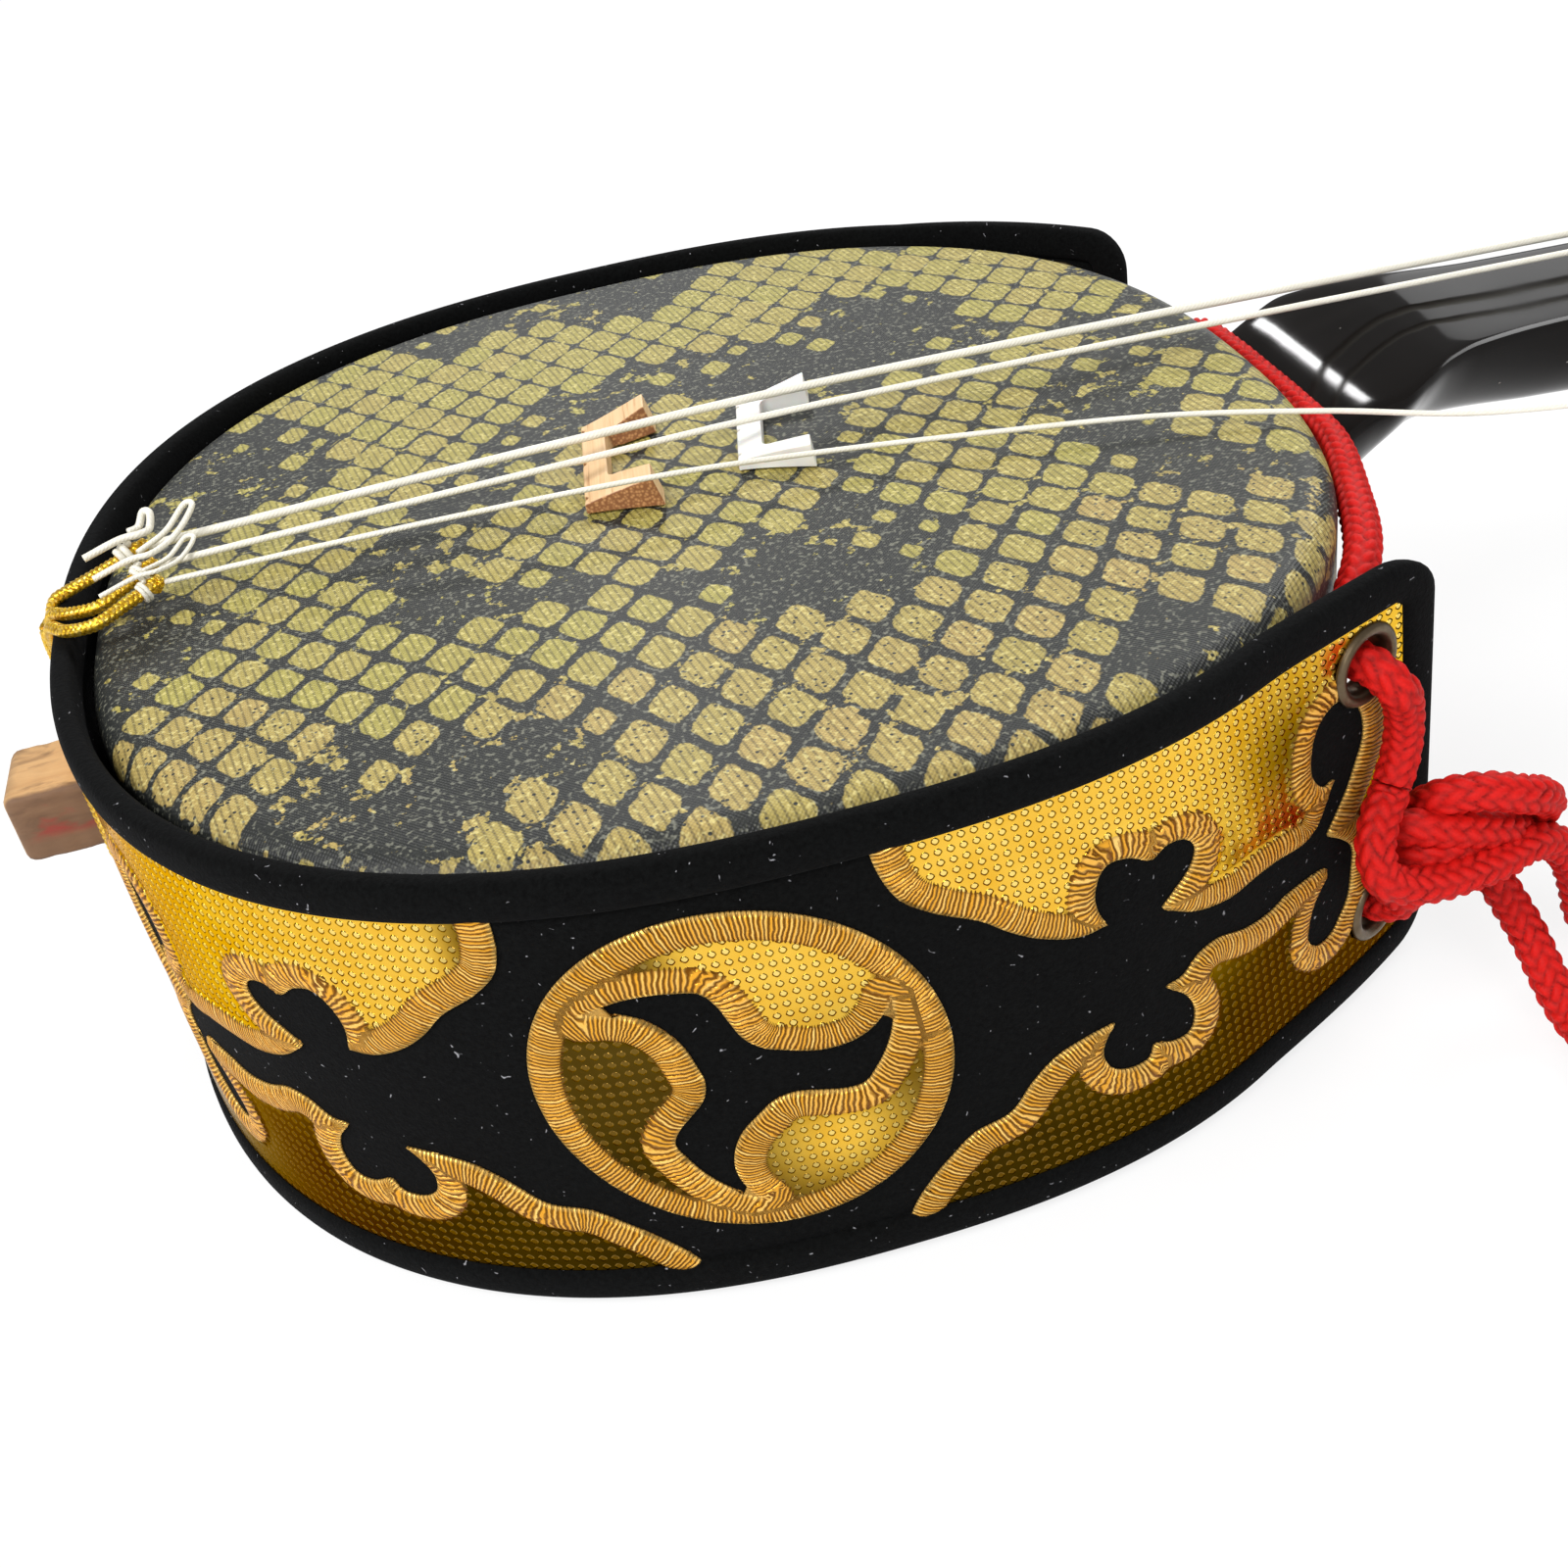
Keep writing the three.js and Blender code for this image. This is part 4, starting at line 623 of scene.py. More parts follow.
# Cotton velvet: near black, no gloss, with a short nap that catches light at grazing angles
# and holds pale lint
velvet = start_material("cotton_velvet")
spot = add("TexCoord").outputs["Object"]
nap = add("TexNoise", {"Vector": spot, "Scale": 1500.0, "Detail": 3.0, "Roughness": 0.7})
shade = add("Mix", {0: add("MapRange", {0: nap, 1: 0.3, 2: 0.7}), 6: "#010101", 7: "#0a0b0b"})
twist = add("TexNoise", {"Vector": spot, "Scale": 220.0})
bent = add("Mix", {0: 0.012, 6: spot, 7: twist.outputs["Color"]})
lint = add("TexVoronoi", {"Vector": bent, "Scale": 380.0})
lint = add("MapRange", {0: lint.outputs["Distance"], 1: 0.095, 2: 0.04})
shade = add("Mix", {0: lint, 6: shade, 7: "#8c8c90"})
look = surface(shade, nap, 0.6, 0.0003, {"Roughness": 0.95, "Specular IOR Level": 0.1, "Sheen Weight": 0.02,
                                         "Sheen Roughness": 0.5, "Sheen Tint": "#8a8a96"})
add("OutputMaterial", {"Surface": look})

along, height, faces = trimmed_cloth(1.6, band_edge - 1.2, wrap_tall - band_edge + 1.2, hole_clearance)
front, back = (wrap_place(along, inset, height) for inset in (band_inset, band_inset + band_thick))
points, faces = both_sides(front, back, faces)
cover = build("wrap_velvet", velvet, "black_velvet", ("wrap_band",), points, faces)


# ---- Gold cloth on the band -----------------------------------------------------------
# Gold foil cloth laid over the velvet, with a cartouche and a three-comma crest cut out of it
# on each side. Every cut edge is overstitched with a raised border of gold rayon.
crest_along, crest_tall, crest_reach = 110.016, 37.2, 26.5
border = 4.3

# Half of the cartouche's edge, from its top to its foot: distance from the crest's middle
# towards an end of the wrap, and height. Each stretch ends in a sharp tip.
cartouche_half = [
    [(22.8, 80), (22.8, 66.1), (23.6, 61.5), (24.9, 58.6), (28.3, 55.5), (33.7, 52.1), (37.2, 48.7),
     (40.9, 46.0), (46.1, 43.9), (49.8, 44.0)],
    [(49.8, 44.0), (48.9, 47.2), (49.2, 50.3), (51.2, 53.3), (54.6, 52.9), (57.8, 50.8), (59.8, 51.9),
     (62.9, 51.5),
     (64.5, 49.2), (63.5, 46.5), (60.5, 44.1), (57.9, 42.2)],
    [(57.9, 42.2), (63.0, 38.8), (69.1, 37.2), (73.9, 37.4), (78.8, 37.2), (84.3, 36.7), (86.8, 37.9),
     (88.6, 40.3), (90.8, 44.2)],
    [(90.8, 44.2), (88.9, 43.7), (86.9, 46.4), (86.8, 49.9), (88.4, 54.4), (91.4, 56.5), (94.3, 56.4),
     (96.6, 51.9),
     (96.7, 47.6), (95.0, 43.8), (93.3, 40.7), (91.1, 37.8), (88.5, 34.9)],
    [(88.5, 34.9), (91.1, 32.6), (93.4, 29.4), (93.1, 25.0), (92.0, 20.3), (90.1, 17.8), (88.2, 16.0),
     (85.6, 15.6),
     (83.2, 17.9), (83.6, 21.2), (85.6, 25.2), (87.9, 27.4)],
    [(87.9, 27.4), (88.0, 29.2), (85.2, 29.7), (80.4, 29.8), (76.2, 29.1), (71.2, 29.8), (66.1, 31.6),
     (62.5, 31.1),
     (59.4, 29.0), (56.4, 28.8)],
    [(56.4, 28.8), (59.5, 25.2), (60.4, 21.6), (59.2, 18.5), (56.4, 18.4), (53.1, 19.9), (52.4, 18.0),
     (49.2, 17.7),
     (46.4, 19.4), (45.5, 22.7), (46.5, 25.1), (48.1, 27.2)],
    [(48.1, 27.2), (43.5, 26.7), (39.3, 25.6), (35.3, 22.8), (31.2, 18.7), (25.9, 17.3), (22.0, 14.4),
     (18.5, 11.2),
     (14.7, 6.4), (9, -8)],
]
# One side of a comma gap in the crest: angle in degrees and distance from the middle
comma_gap = [(20, 21.8), (15, 19.6), (10, 16.6), (8, 13.5), (11, 9.8), (28, 6.6), (55, 5.3), (80, 6.6),
             (89, 9.6),
             (93, 12.6), (98, 15), (108, 16.4), (118, 18), (128, 19.7), (138, 21.4)]
half_edge = np.vstack([along_route(stretch, 0.9) for stretch in cartouche_half])
cartouche = np.vstack([half_edge, half_edge[::-1] * (-1, 1)])
gap_angle, gap_reach = np.array(comma_gap).T
gap_turns = [np.radians(gap_angle + third) for third in (0, 120, 240)]
three_commas = np.vstack([
    along_route(np.stack([gap_reach * np.cos(turn), crest_tall + gap_reach * np.sin(turn)], axis=1), 0.8)
    for turn in gap_turns])
rim_angle = circle(200)
crest_rim = np.stack([crest_reach * np.cos(rim_angle), crest_tall + crest_reach * np.sin(rim_angle)], axis=1)


def stitch_line(along, height):
    """How far each place is from the nearest cut edge, and how far along it that is. The
    distance is positive on gold: outside the cartouche, or inside the crest's rim but not
    between its commas."""
    u = crest_along - np.minimum(along, wrap_run - along).ravel()
    v = height.ravel()
    best, place, start = np.full(u.size, 1e9), np.zeros(u.size), 0.0
    for edge in (cartouche, crest_rim, three_commas):
        a, b = edge, np.roll(edge, -1, axis=0)
        run = b - a
        length = np.linalg.norm(run, axis=1)
        before = np.cumsum(length) - length
        real = length > 1e-6
        for part in np.array_split(np.flatnonzero(real), max(1, real.sum() // 60)):
            du, dv = u[:, None] - a[part, 0], v[:, None] - a[part, 1]
            reach = (du * run[part, 0] + dv * run[part, 1]) / length[part]**2
            share = np.clip(reach, 0, 1)
            far = np.hypot(du - share * run[part, 0], dv - share * run[part, 1])
            pick = far.argmin(axis=1)
            rows = np.arange(u.size)
            nearer = far[rows, pick] < best
            best = np.where(nearer, far[rows, pick], best)
            beyond = (reach - share)[rows, pick] * length[part][pick]
            beyond = np.sign(beyond) * np.maximum(np.abs(beyond) - 0.4, 0)
            place = np.where(nearer,
                             start + before[part][pick] + share[rows, pick] * length[part][pick] + beyond, place)
        start += length.sum()
    on_gold = ~inside(u, v, cartouche) | (inside(u, v, crest_rim) & ~inside(u, v, three_commas))
    return np.where(on_gold, best, -best).reshape(along.shape), place.reshape(along.shape)


def gold_distance(along, height):
    """Distance to the nearest cut: a stitched edge, or a hole for an eyelet or the stub."""
    return np.minimum(stitch_line(along, height)[0], hole_clearance(along, height))


def cloth_rise(distance):
    """Height of the gold over the velvet: a rounded roll of thread as wide as the border, a
    dip where its needle holes pull down, and the flat foil beyond."""
    share = np.clip(distance / border, 0, 1)
    roll = 0.3 + 0.55 * np.sqrt(np.maximum(0, np.sin(np.pi * share)))
    return np.where(distance < border, roll, 0.3 + 0.14 * (1 - np.exp(-(distance - border) / 1.2)))


along, height, faces = trimmed_cloth(0.72, band_edge - 1.3, wrap_tall - band_edge + 1.3, gold_distance)
distance, stitch = stitch_line(along, height)
distance = np.maximum(distance, 0)
used = np.unique(np.concatenate([np.ravel(f) for f in faces]))
renumber = np.zeros(along.size, int)
renumber[used] = np.arange(used.size)
faces = [[int(renumber[k]) for k in f] for f in faces]
along, height, distance, stitch = along[used], height[used], distance[used], stitch[used]
front = wrap_place(along, band_inset - cloth_rise(distance), height)
back = wrap_place(along, band_inset - 0.02, height)
points, faces = both_sides(front, back, faces)
gold_maps = {name: np.tile(np.stack(pair, axis=1), (2, 1))
             for name, pair in (("stitches", (stitch, distance)), ("foil", (along, height)))}

# Foil cloth: a mirror-like gold film pressed into a grid of dots 1.65 mm apart. Its border is
# satin stitch: rayon thread, 0.6 mm from one to the next, square to the edge
gold_cloth = start_material("gold_foil_cloth_with_satin_stitch")
spot = add("TexCoord").outputs["Object"]
stitches = add("SeparateXYZ", {0: add("UVMap", uv_map="stitches")})
foil_map = add("UVMap", uv_map="foil")
grid = add("SeparateXYZ",
           {0: add("Mapping", {"Vector": foil_map, "Scale": (2 * np.pi / 1.65, 2 * np.pi / 1.65, 1.0)})})
waves = [add("Math", {0: grid.outputs[k]}, operation="COSINE") for k in (0, 1)]
dots = add("Math", {0: waves[0], 1: waves[1]})
dots = add("MapRange", {0: dots, 1: 0.2, 2: 1.3}, interpolation_type="SMOOTHSTEP")
crinkle = add("TexNoise", {"Vector": spot, "Scale": 160.0, "Detail": 3.0})
foil_height = add("Math", {0: crinkle, 1: 0.7, 2: dots}, operation="MULTIPLY_ADD")
# lit says how much painted reflection the foil shows: 0 takes the dark tint, 1 the bright one
lit = add("Attribute", attribute_name="lit").outputs["Fac"]
foil_height = add("Math", {0: foil_height, 1: add("MapRange", {0: lit, 3: 0.35})}, operation="MULTIPLY")
foil_bump = add("Bump", {"Height": foil_height, "Strength": 0.9, "Distance": 0.0003})
# Painted reflection: dark bronze where the foil mirrors dark, bright gold where it mirrors light
painted_dark_reflection_tint = add("Mix", {0: crinkle, 6: "#281d06", 7: "#44340d"})
bright_tint = add("Mix", {0: crinkle, 6: "#e8a91c", 7: "#ffd75c"})
foil_tint = add("Mix", {0: lit, 6: painted_dark_reflection_tint, 7: bright_tint})
# Each dot's shoulder turns through every angle, so a thin ring of painted highlight and shade goes on it: lighter than
# the dark fields, darker than the bright ones
shoulder = add("Math", {0: add("Math", {0: dots, 1: 0.55}, operation="SUBTRACT")}, operation="ABSOLUTE")
shoulder = add("MapRange", {0: shoulder, 1: 0.48, 2: 0.14, 4: 0.8})
ring_tint = add("Mix", {0: lit, 6: "#9a7838", 7: "#6a3f06"})
foil_tint = add("Mix", {0: shoulder, 6: foil_tint, 7: ring_tint})
# Painted highlight on each dot's top, faint on the dark fields
painted_dot_highlight = add("Mix", {0: lit, 6: "#6e5016", 7: "#ffe98e"})
foil_tint = add("Mix", {0: add("MapRange", {0: dots, 1: 0.82, 2: 1.0, 4: 0.7}), 6: foil_tint, 7: painted_dot_highlight})
foil = add("BsdfPrincipled", {"Base Color": foil_tint, "Metallic": 1.0, "Roughness": 0.2,
                              "Specular Tint": "#dcbc80", "Normal": foil_bump})
waver = add("TexNoise", {"Vector": spot, "Scale": 420.0})
course = add("Math", {0: waver, 1: 0.8, 2: stitches.outputs[0]}, operation="MULTIPLY_ADD")
course = add("Math", {0: stitches.outputs[1], 1: 0.12, 2: course}, operation="MULTIPLY_ADD")
thread = add("Math", {0: add("Math", {0: course, 1: 2 * np.pi / 0.62}, operation="MULTIPLY")}, operation="SINE")
thread = add("MapRange", {0: thread, 1: -1.0, 2: 0.4})
strand = add("TexNoise", {"W": add("Math", {0: course, 1: 1.4}, operation="MULTIPLY"), "Scale": 1.0},
             noise_dimensions="1D")
# Painted shade in the gaps between threads, and a painted lustre on the threads that varies from one to the next
satin_tint = add("Mix", {0: thread, 6: "#6b3d08", 7: "#e2a030"})
lustre = add("Math", {0: add("MapRange", {0: strand, 1: 0.42, 2: 0.72, 4: 0.65}), 1: thread},
             operation="MULTIPLY")
satin_tint = add("Mix", {0: lustre, 6: satin_tint, 7: "#ffdd88"})
# Painted highlight along the beaded outer edge of the roll
painted_bead_highlight = add("MapRange", {0: stitches.outputs[1], 1: 0.55, 2: 0.1, 4: 0.45})
satin_tint = add("Mix", {0: painted_bead_highlight, 6: satin_tint, 7: "#f8d07a"})
# Painted shade in the dip along the roll's inner edge, where the needle holes pull it down
painted_inner_edge_shade = add("MapRange", {0: stitches.outputs[1], 1: border - 0.7, 2: border - 0.1, 4: 0.7})
satin_tint = add("Mix", {0: painted_inner_edge_shade, 6: satin_tint, 7: "#5a3408"})
satin_bump = add("Bump", {"Height": thread, "Strength": 1.0, "Distance": 0.0003})
satin = add("BsdfPrincipled", {"Base Color": satin_tint, "Metallic": 0.45, "Roughness": 0.34,
                               "Specular Tint": "#e8b75a", "Normal": satin_bump})
ragged = add("Math", {0: thread, 1: 0.35, 2: stitches.outputs[1]}, operation="MULTIPLY_ADD")
is_foil = add("MapRange", {0: ragged, 1: border, 2: border + 0.08})
look = add("MixShader", {0: is_foil, 1: satin, 2: foil})
add("OutputMaterial", {"Surface": look})
# Painted reflection on the foil, as if it mirrored a dark room: dark on the lower fields and on the comma that faces
# the tail, bright above, with one bright patch low down and one dark patch high up
across, tall = crest_along - np.minimum(along, wrap_run - along), height
lit = 1 / (1 + np.exp(-(tall - 35 - 5 * np.sin(across / 11)) / 3.5))
for level, middle_across, middle_tall, spread_across, spread_tall in ((1, 9, 24, 8, 7), (-0.85, 84, 54, 9, 9)):
    patch = np.exp(-((across - middle_across) / spread_across)**2 / 1.4 - ((tall - middle_tall) / spread_tall)**2 / 1.4)
    lit = lit + (max(level, 0) - lit) * abs(level) * patch
lit = lit * (1 - 0.95 / (1 + np.exp((across + 5) / 1.2)) / (1 + np.exp(-(across + 29) / 1.2)))
lit = np.tile(np.clip(lit, 0, 1), 2)
gold = build("gold_cloth", gold_cloth, "gold_cloth", ("crest_near", "crest_far"), points, faces, gold_maps,
             {"lit": lit})


# ---- Wrap piping ----------------------------------------------------------------------
# Velvet sewn round a soft filler along the whole edge of the band, so that the band has a
# plump rim with rounded corners.
piping_tall, piping_thick, piping_corner = 6.2, 3.8, 4.2
half = piping_tall / 2
inner_low, corner = half + piping_corner, np.linspace(0, np.pi / 2, 9)
spans = []
for middle, start in (((wrap_run - inner_low, wrap_tall - inner_low), np.pi / 2),
                      ((wrap_run - inner_low, inner_low), 0.0),
                      ((inner_low, inner_low), -np.pi / 2), ((inner_low, wrap_tall - inner_low), np.pi)):
    away = np.stack([np.cos(start - corner), np.sin(start - corner)], axis=1)
    spans.append((np.array(middle) + piping_corner * away, away))
route, way = [], []
for (here, here_way), (there, there_way) in zip(spans, spans[1:] + spans[:1]):
    gap = np.linalg.norm(there[0] - here[-1])
    share = np.linspace(0, 1, int(gap / 1.3) + 2)[1:-1, None]
    route += [here, here[-1] * (1 - share) + there[0] * share]
    way += [here_way, here_way[-1] * (1 - share) + there_way[0] * share]
route, way = np.vstack(route), np.vstack(way)
turn = circle(28)
fullness = 0.72
across = np.sign(np.cos(turn)) * np.abs(np.cos(turn))**fullness * half
depth = (0.5 - 0.5 * np.sign(np.sin(turn)) * np.abs(np.sin(turn))**fullness) * piping_thick
along, height = (route[:, None, k] + across * way[:, None, k] for k in (0, 1))
plump = wrap_place(along, depth + 0 * along, height)
piping = build("wrap_piping_velvet", velvet, "black_velvet", ("wrap_piping",), *capped(plump, closed=True))


# ---- Eyelets --------------------------------------------------------------------------
# Two-part brass eyelets, pressed from both sides through the band with a flange rolled
# over on each face. Their plating has gone dull and brown.
aged_brass = grained("aged_plated_brass", {"Scale": 500.0, "Detail": 5.0, "Roughness": 0.65}, "#463a2a",
                     "#7c6c55",
                     gloss={1: 0.3, 2: 0.7, 3: 0.5, 4: 0.28}, relief=(0.25, 0.0001), look={"Metallic": 0.9})

# Radius and height over the band's face, once round the section
eyelet_section = np.array([
    (4.0, -0.9), (4.02, 0.1), (4.15, 0.75), (4.5, 1.2), (5.0, 1.4), (5.5, 1.28), (5.9, 0.98), (6.1, 0.58),
    (6.0, 0.5), (5.2, 0.5), (4.6, 0.5), (4.6, -0.7), (4.6, -1.9), (5.4, -1.9), (6.1, -1.9), (6.1, -2.2),
    (5.9, -2.5), (5.5, -2.7), (5.0, -2.8), (4.5, -2.7), (4.15, -2.35), (4.02, -1.8)])
for name, middle, facing in (
    ("eyelet_near_bottom", (79.03, -74.62, 15.3), (0.51486, -0.85727)),
    ("eyelet_near_top", (74.16, -78.64, 60.2), (0.41601, -0.90936)),
    ("eyelet_far_bottom", (86.48, 64.93, 15.3), (0.75439, 0.65643)),
    ("eyelet_far_top", (86.58, 64.82, 60.2), (0.75561, 0.65503)),
):
    outward = np.array([*facing, 0.0])
    level = np.array([-outward[1], outward[0], 0.0])
    turn = circle(56)[:, None, None]
    spoke = np.cos(turn) * level + np.sin(turn) * np.array([0, 0, 1.0])
    ring = np.array(middle) + spoke * eyelet_section[None, :, :1] + outward * eyelet_section[None, :, 1:]
    build(name + "_pressed", aged_brass, "eyelet_brass", (name,), *capped(ring, closed=True))


# ---- Neck -----------------------------------------------------------------------------
# One piece of dense wood, shaped by hand and finished with many coats of black lacquer that
# is rubbed to a deep gloss. It swells to a crest at the drum and ends in a curved head.
lacquer = start_material("polished_black_lacquer")
spot = add("TexCoord").outputs["Object"]
haze = add("TexNoise", {"Vector": spot, "Scale": 18.0, "Detail": 3.0})
shade = add("Mix", {0: haze, 6: "#0c0b0b", 7: "#191614"})
specks = add("TexVoronoi", {"Vector": spot, "Scale": 170.0})
specks = add("MapRange", {0: specks.outputs["Distance"], 1: 0.035, 2: 0.015, 4: 0.6})
shade = add("Mix", {0: specks, 6: shade, 7: "#b8b4ac"})
ripple = add("TexNoise", {"Vector": spot, "Scale": 120.0})
smear = add("MapRange", {0: add("TexNoise", {"Vector": spot, "Scale": 60.0, "Detail": 4.0}), 1: 0.3, 2: 0.8,
                         3: 0.06, 4: 0.16})
look = surface(shade, ripple, 0.12, 0.0002, {"Roughness": smear, "Specular IOR Level": 0.08})
add("OutputMaterial", {"Surface": look})

# Down the neck: place, height of the face, half width, depth, fullness of the back, pitch
neck_stations = np.array([
    (94.2, 59.2, 22.7, 33, 1.35, 0), (103.0, 64.67, 22.5, 28, 1.3, 0), (106.1, 66.13, 22.8, 24.5, 1.3,
                                                                        0), (109.625, 67.284, 23.608, 21, 1.3, 0),
    (114.75, 68.711, 21.565, 18.8, 1.35, 0), (119.875, 69.665, 19.068, 18, 1.5, 0), (125, 70, 17.479, 17.9, 1.7,
                                                                                     0),
    (141.952, 69.36, 15.046, 18.6, 2.0, 0), (163.142, 68.56, 14.554, 19.2, 2.1, 0), (209.76, 66.8, 14.17,
                                                                                     19.513, 2.1, 0),
    (294.52, 63.6, 13.72, 19.5, 2.1, 0), (379.28, 60.4, 13.28, 19.5, 2.1, 0), (464.04, 57.2, 12.84, 19.5, 2.1,
                                                                               0),
    (523.372, 54.96, 12.532, 19.5, 2.1, 0), (548.8, 54, 12.4, 19.5, 2.1, 0), (556, 53.728, 14.415, 24, 4, 0),
    (564.8, 53.396, 15.5, 30, 4, 0), (596.8, 52.188, 15.19, 30, 4, 0), (628.8, 50.98, 13.33, 27, 4, 0),
    (635.358, 50.096, 13.64, 21.7, 3, 0.151), (644.69, 45.541, 14.52, 15.4, 3, 0.377), (653.549, 36.365, 17.6,
                                                                                        11.2, 3, 0.628),
    (659.985, 23.735, 20.9, 8.4, 3, 0.88), (662.833, 12.73, 22, 7, 3, 1.068), (663.692, 4.997, 18.7, 5.6, 3,
                                                                               1.194),
    (663.8, 1.082, 11, 3.5, 3, 1.257)])
peg_places = ((565.3, 39.877, 1), (589.3, 38.971, -1), (613.3, 38.065, 1))


def eased(stations, spacing, crest):
    """Values at even places between stations. Each span is a cubic that never overshoots: its
    end slopes are the harmonic means of the neighbouring slopes, or level where these differ
    in sign. Up to the crest the spans stay straight."""
    run = np.concatenate([[0], np.cumsum(np.hypot(*np.diff(stations[:, :2], axis=0).T))])
    wide = np.diff(run)[:, None]
    steep = np.diff(stations, axis=0) / wide
    left, right = steep[:-1], steep[1:]
    agree = left * right > 0
    bend = np.where(agree, 2 * left * right / np.where(agree, left + right, 1), 0)
    slope = np.vstack([steep[:1], bend, steep[-1:]])
    slope[crest] = steep[crest]
    at = np.linspace(0, run[-1], int(run[-1] / spacing) + 1)
    i = np.clip(np.searchsorted(run, at, side="right") - 1, 0, len(run) - 2)
    t = ((at - run[i]) / np.diff(run)[i])[:, None]
    value = (stations[i] * (1 + 2 * t) * (1 - t)**2 + stations[i + 1] * (3 - 2 * t) * t**2
             + slope[i] * wide[i] * t * (1 - t)**2 - slope[i + 1] * wide[i] * t**2 * (1 - t))
    straight = stations[i] * (1 - t) + stations[i + 1] * t
    return np.where((i < crest)[:, None], straight, value)


rows = eased(neck_stations, 0.7, 2)
# The crest's edge is cut off flat and rubbed smooth: a running mean over 0.7 mm on both sides
for _ in range(2):
    rows[4:32] = np.stack([np.roll(rows, k, axis=0) for k in (-1, 0, 1)]).mean(axis=0)[4:32]
x, top, *_, pitch = rows.T[..., None]
sides = 48
angle = np.linspace(0, np.pi, 1201)
face_y, face_down = np.cos(angle), np.sin(angle)
side_y, side_down = [], []
# Upper half: a nearly flat face; lower half: a rounded back. Both are superellipses, with
# their points spaced evenly along the curve
for row in rows:
    crown = 0.06 * row[2]
    halves = []
    for power, low, high in ((2 / 7, 0.0, 1.0), (2 / row[4], 1.0, -1.0)):
        across = row[2] * np.sign(face_y) * np.abs(face_y)**power
        down = crown * (1 - face_down**power) if low == 0 else crown + (row[3] - crown) * face_down**power
        line = np.stack([across, down], axis=1) if low == 0 else np.stack([-across, down], axis=1)
        run = np.concatenate([[0], np.cumsum(np.hypot(*np.diff(line, axis=0).T))])
        stops = np.linspace(0, run[-1], sides + 1)[:-1]
        halves.append(np.stack([np.interp(stops, run, line[:, 0]), np.interp(stops, run, line[:, 1])], axis=1))
    section = np.vstack(halves)
    side_y.append(section[:, 0])
    side_down.append(section[:, 1])
side_y, side_down = np.array(side_y), np.array(side_down)
neck_surface = np.stack([x - side_down * np.sin(pitch), side_y, top - side_down * np.cos(pitch)], axis=-1)
neck = build("neck_lacquered", lacquer, "black_lacquer", ("neck",), *capped(neck_surface))


def cut_out(piece, name, points, faces):
    """Takes a closed shape out of a piece, and removes the shape again."""
    cutter = bpy.data.objects.new(name, turned_out(name, points, faces))
    scene.collection.objects.link(cutter)
    cut = piece.modifiers.new(name, "BOOLEAN")
    cut.operation, cut.solver, cut.object = "DIFFERENCE", "EXACT", cutter
    left = bpy.data.meshes.new_from_object(piece.evaluated_get(bpy.context.evaluated_depsgraph_get()))
    piece.modifiers.clear()
    piece.data = left
    bpy.data.objects.remove(cutter)


# The pegbox slot goes right through, with rounded corners, and each peg has a tapered bore
turn = np.linspace(0, np.pi / 2, 7)
quarter = 2.5 * np.stack([np.cos(turn), np.sin(turn)], axis=1)
slot_edge = np.vstack([np.array([590.3 + a * 34.5, b * 5.1]) + quarter[::a * b] * (a, b) for a,
                       b in ((1, 1), (-1, 1), (-1, -1), (1, -1))])
tall = np.array([-2.0, 80.0])
slot_shape = np.stack(np.broadcast_arrays(*slot_edge.T, tall[:, None]), axis=-1)
cut_out(neck, "pegbox_slot", *capped(slot_shape))
turn = circle(40)
for peg_x, peg_z, side in peg_places:
    bore = [np.stack([peg_x + r * np.cos(turn), np.full(40, side * y), peg_z + r * np.sin(turn)], axis=1) for y,
            r in ((-24, 4.13), (24, 4.95))]
    cut_out(neck, "peg_bore", *capped(np.array(bore)))
neck.data.set_sharp_from_angle(angle=np.radians(38))

# Behind the crest the same wood goes on bare, as the core stick through the drum. Its end
# stands out of the tail as a stub, with knife-cut corners, brown smudges, and a red stain on
# its near side
bare_wood = start_material("knife_cut_bare_wood")
spot = add("TexCoord").outputs["Object"]
flow = add("Mapping", {"Vector": spot, "Scale": (55.0, 420.0, 420.0)})
grain = add("TexNoise", {"Vector": flow, "Scale": 1.0, "Detail": 6.0, "Roughness": 0.6, "Distortion": 0.6})
blotch = add("TexNoise", {"Vector": spot, "Scale": 130.0, "Detail": 3.0})
pale = add("Mix", {0: grain, 6: "#a97c4c", 7: "#dcb683"})
brown = add("Mix", {0: grain, 6: "#553c29", 7: "#805f43"})
sides_of = add("SeparateXYZ", {0: spot})
# Painted shade: the near side is a darker brown. The last few millimetres of the end are darker with wear
near_side = add("MapRange", {0: sides_of.outputs[1], 1: -0.0066, 2: -0.0074})
end_place = add("Math", {0: blotch, 1: 0.006, 2: sides_of.outputs[0]}, operation="MULTIPLY_ADD")
worn_end = add("MapRange", {0: end_place, 1: -0.1095, 2: -0.1125})
side_shade_and_end_wear = add("Math", {0: near_side, 1: add("Math", {0: worn_end, 1: 0.7}, operation="MULTIPLY")},
             operation="MAXIMUM")
shade = add("Mix", {0: side_shade_and_end_wear, 6: pale, 7: brown})
smudge = add("TexNoise", {"Vector": add("Mapping", {"Vector": spot, "Scale": (95.0, 210.0, 260.0)}),
                          "Scale": 1.0, "Detail": 5.0, "Roughness": 0.65, "Distortion": 0.8})
smudge = add("MapRange", {0: smudge, 1: 0.5, 2: 0.68, 4: 0.7})
shade = add("Mix", {0: smudge, 6: shade, 7: "#5b402a"})
stain = add("TexNoise", {"Vector": add("Mapping", {"Vector": spot, "Scale": (160.0, 160.0, 330.0)}),
                         "Scale": 1.0, "Detail": 3.0})
stain = add("MapRange", {0: stain, 1: 0.48, 2: 0.62, 4: 0.85})
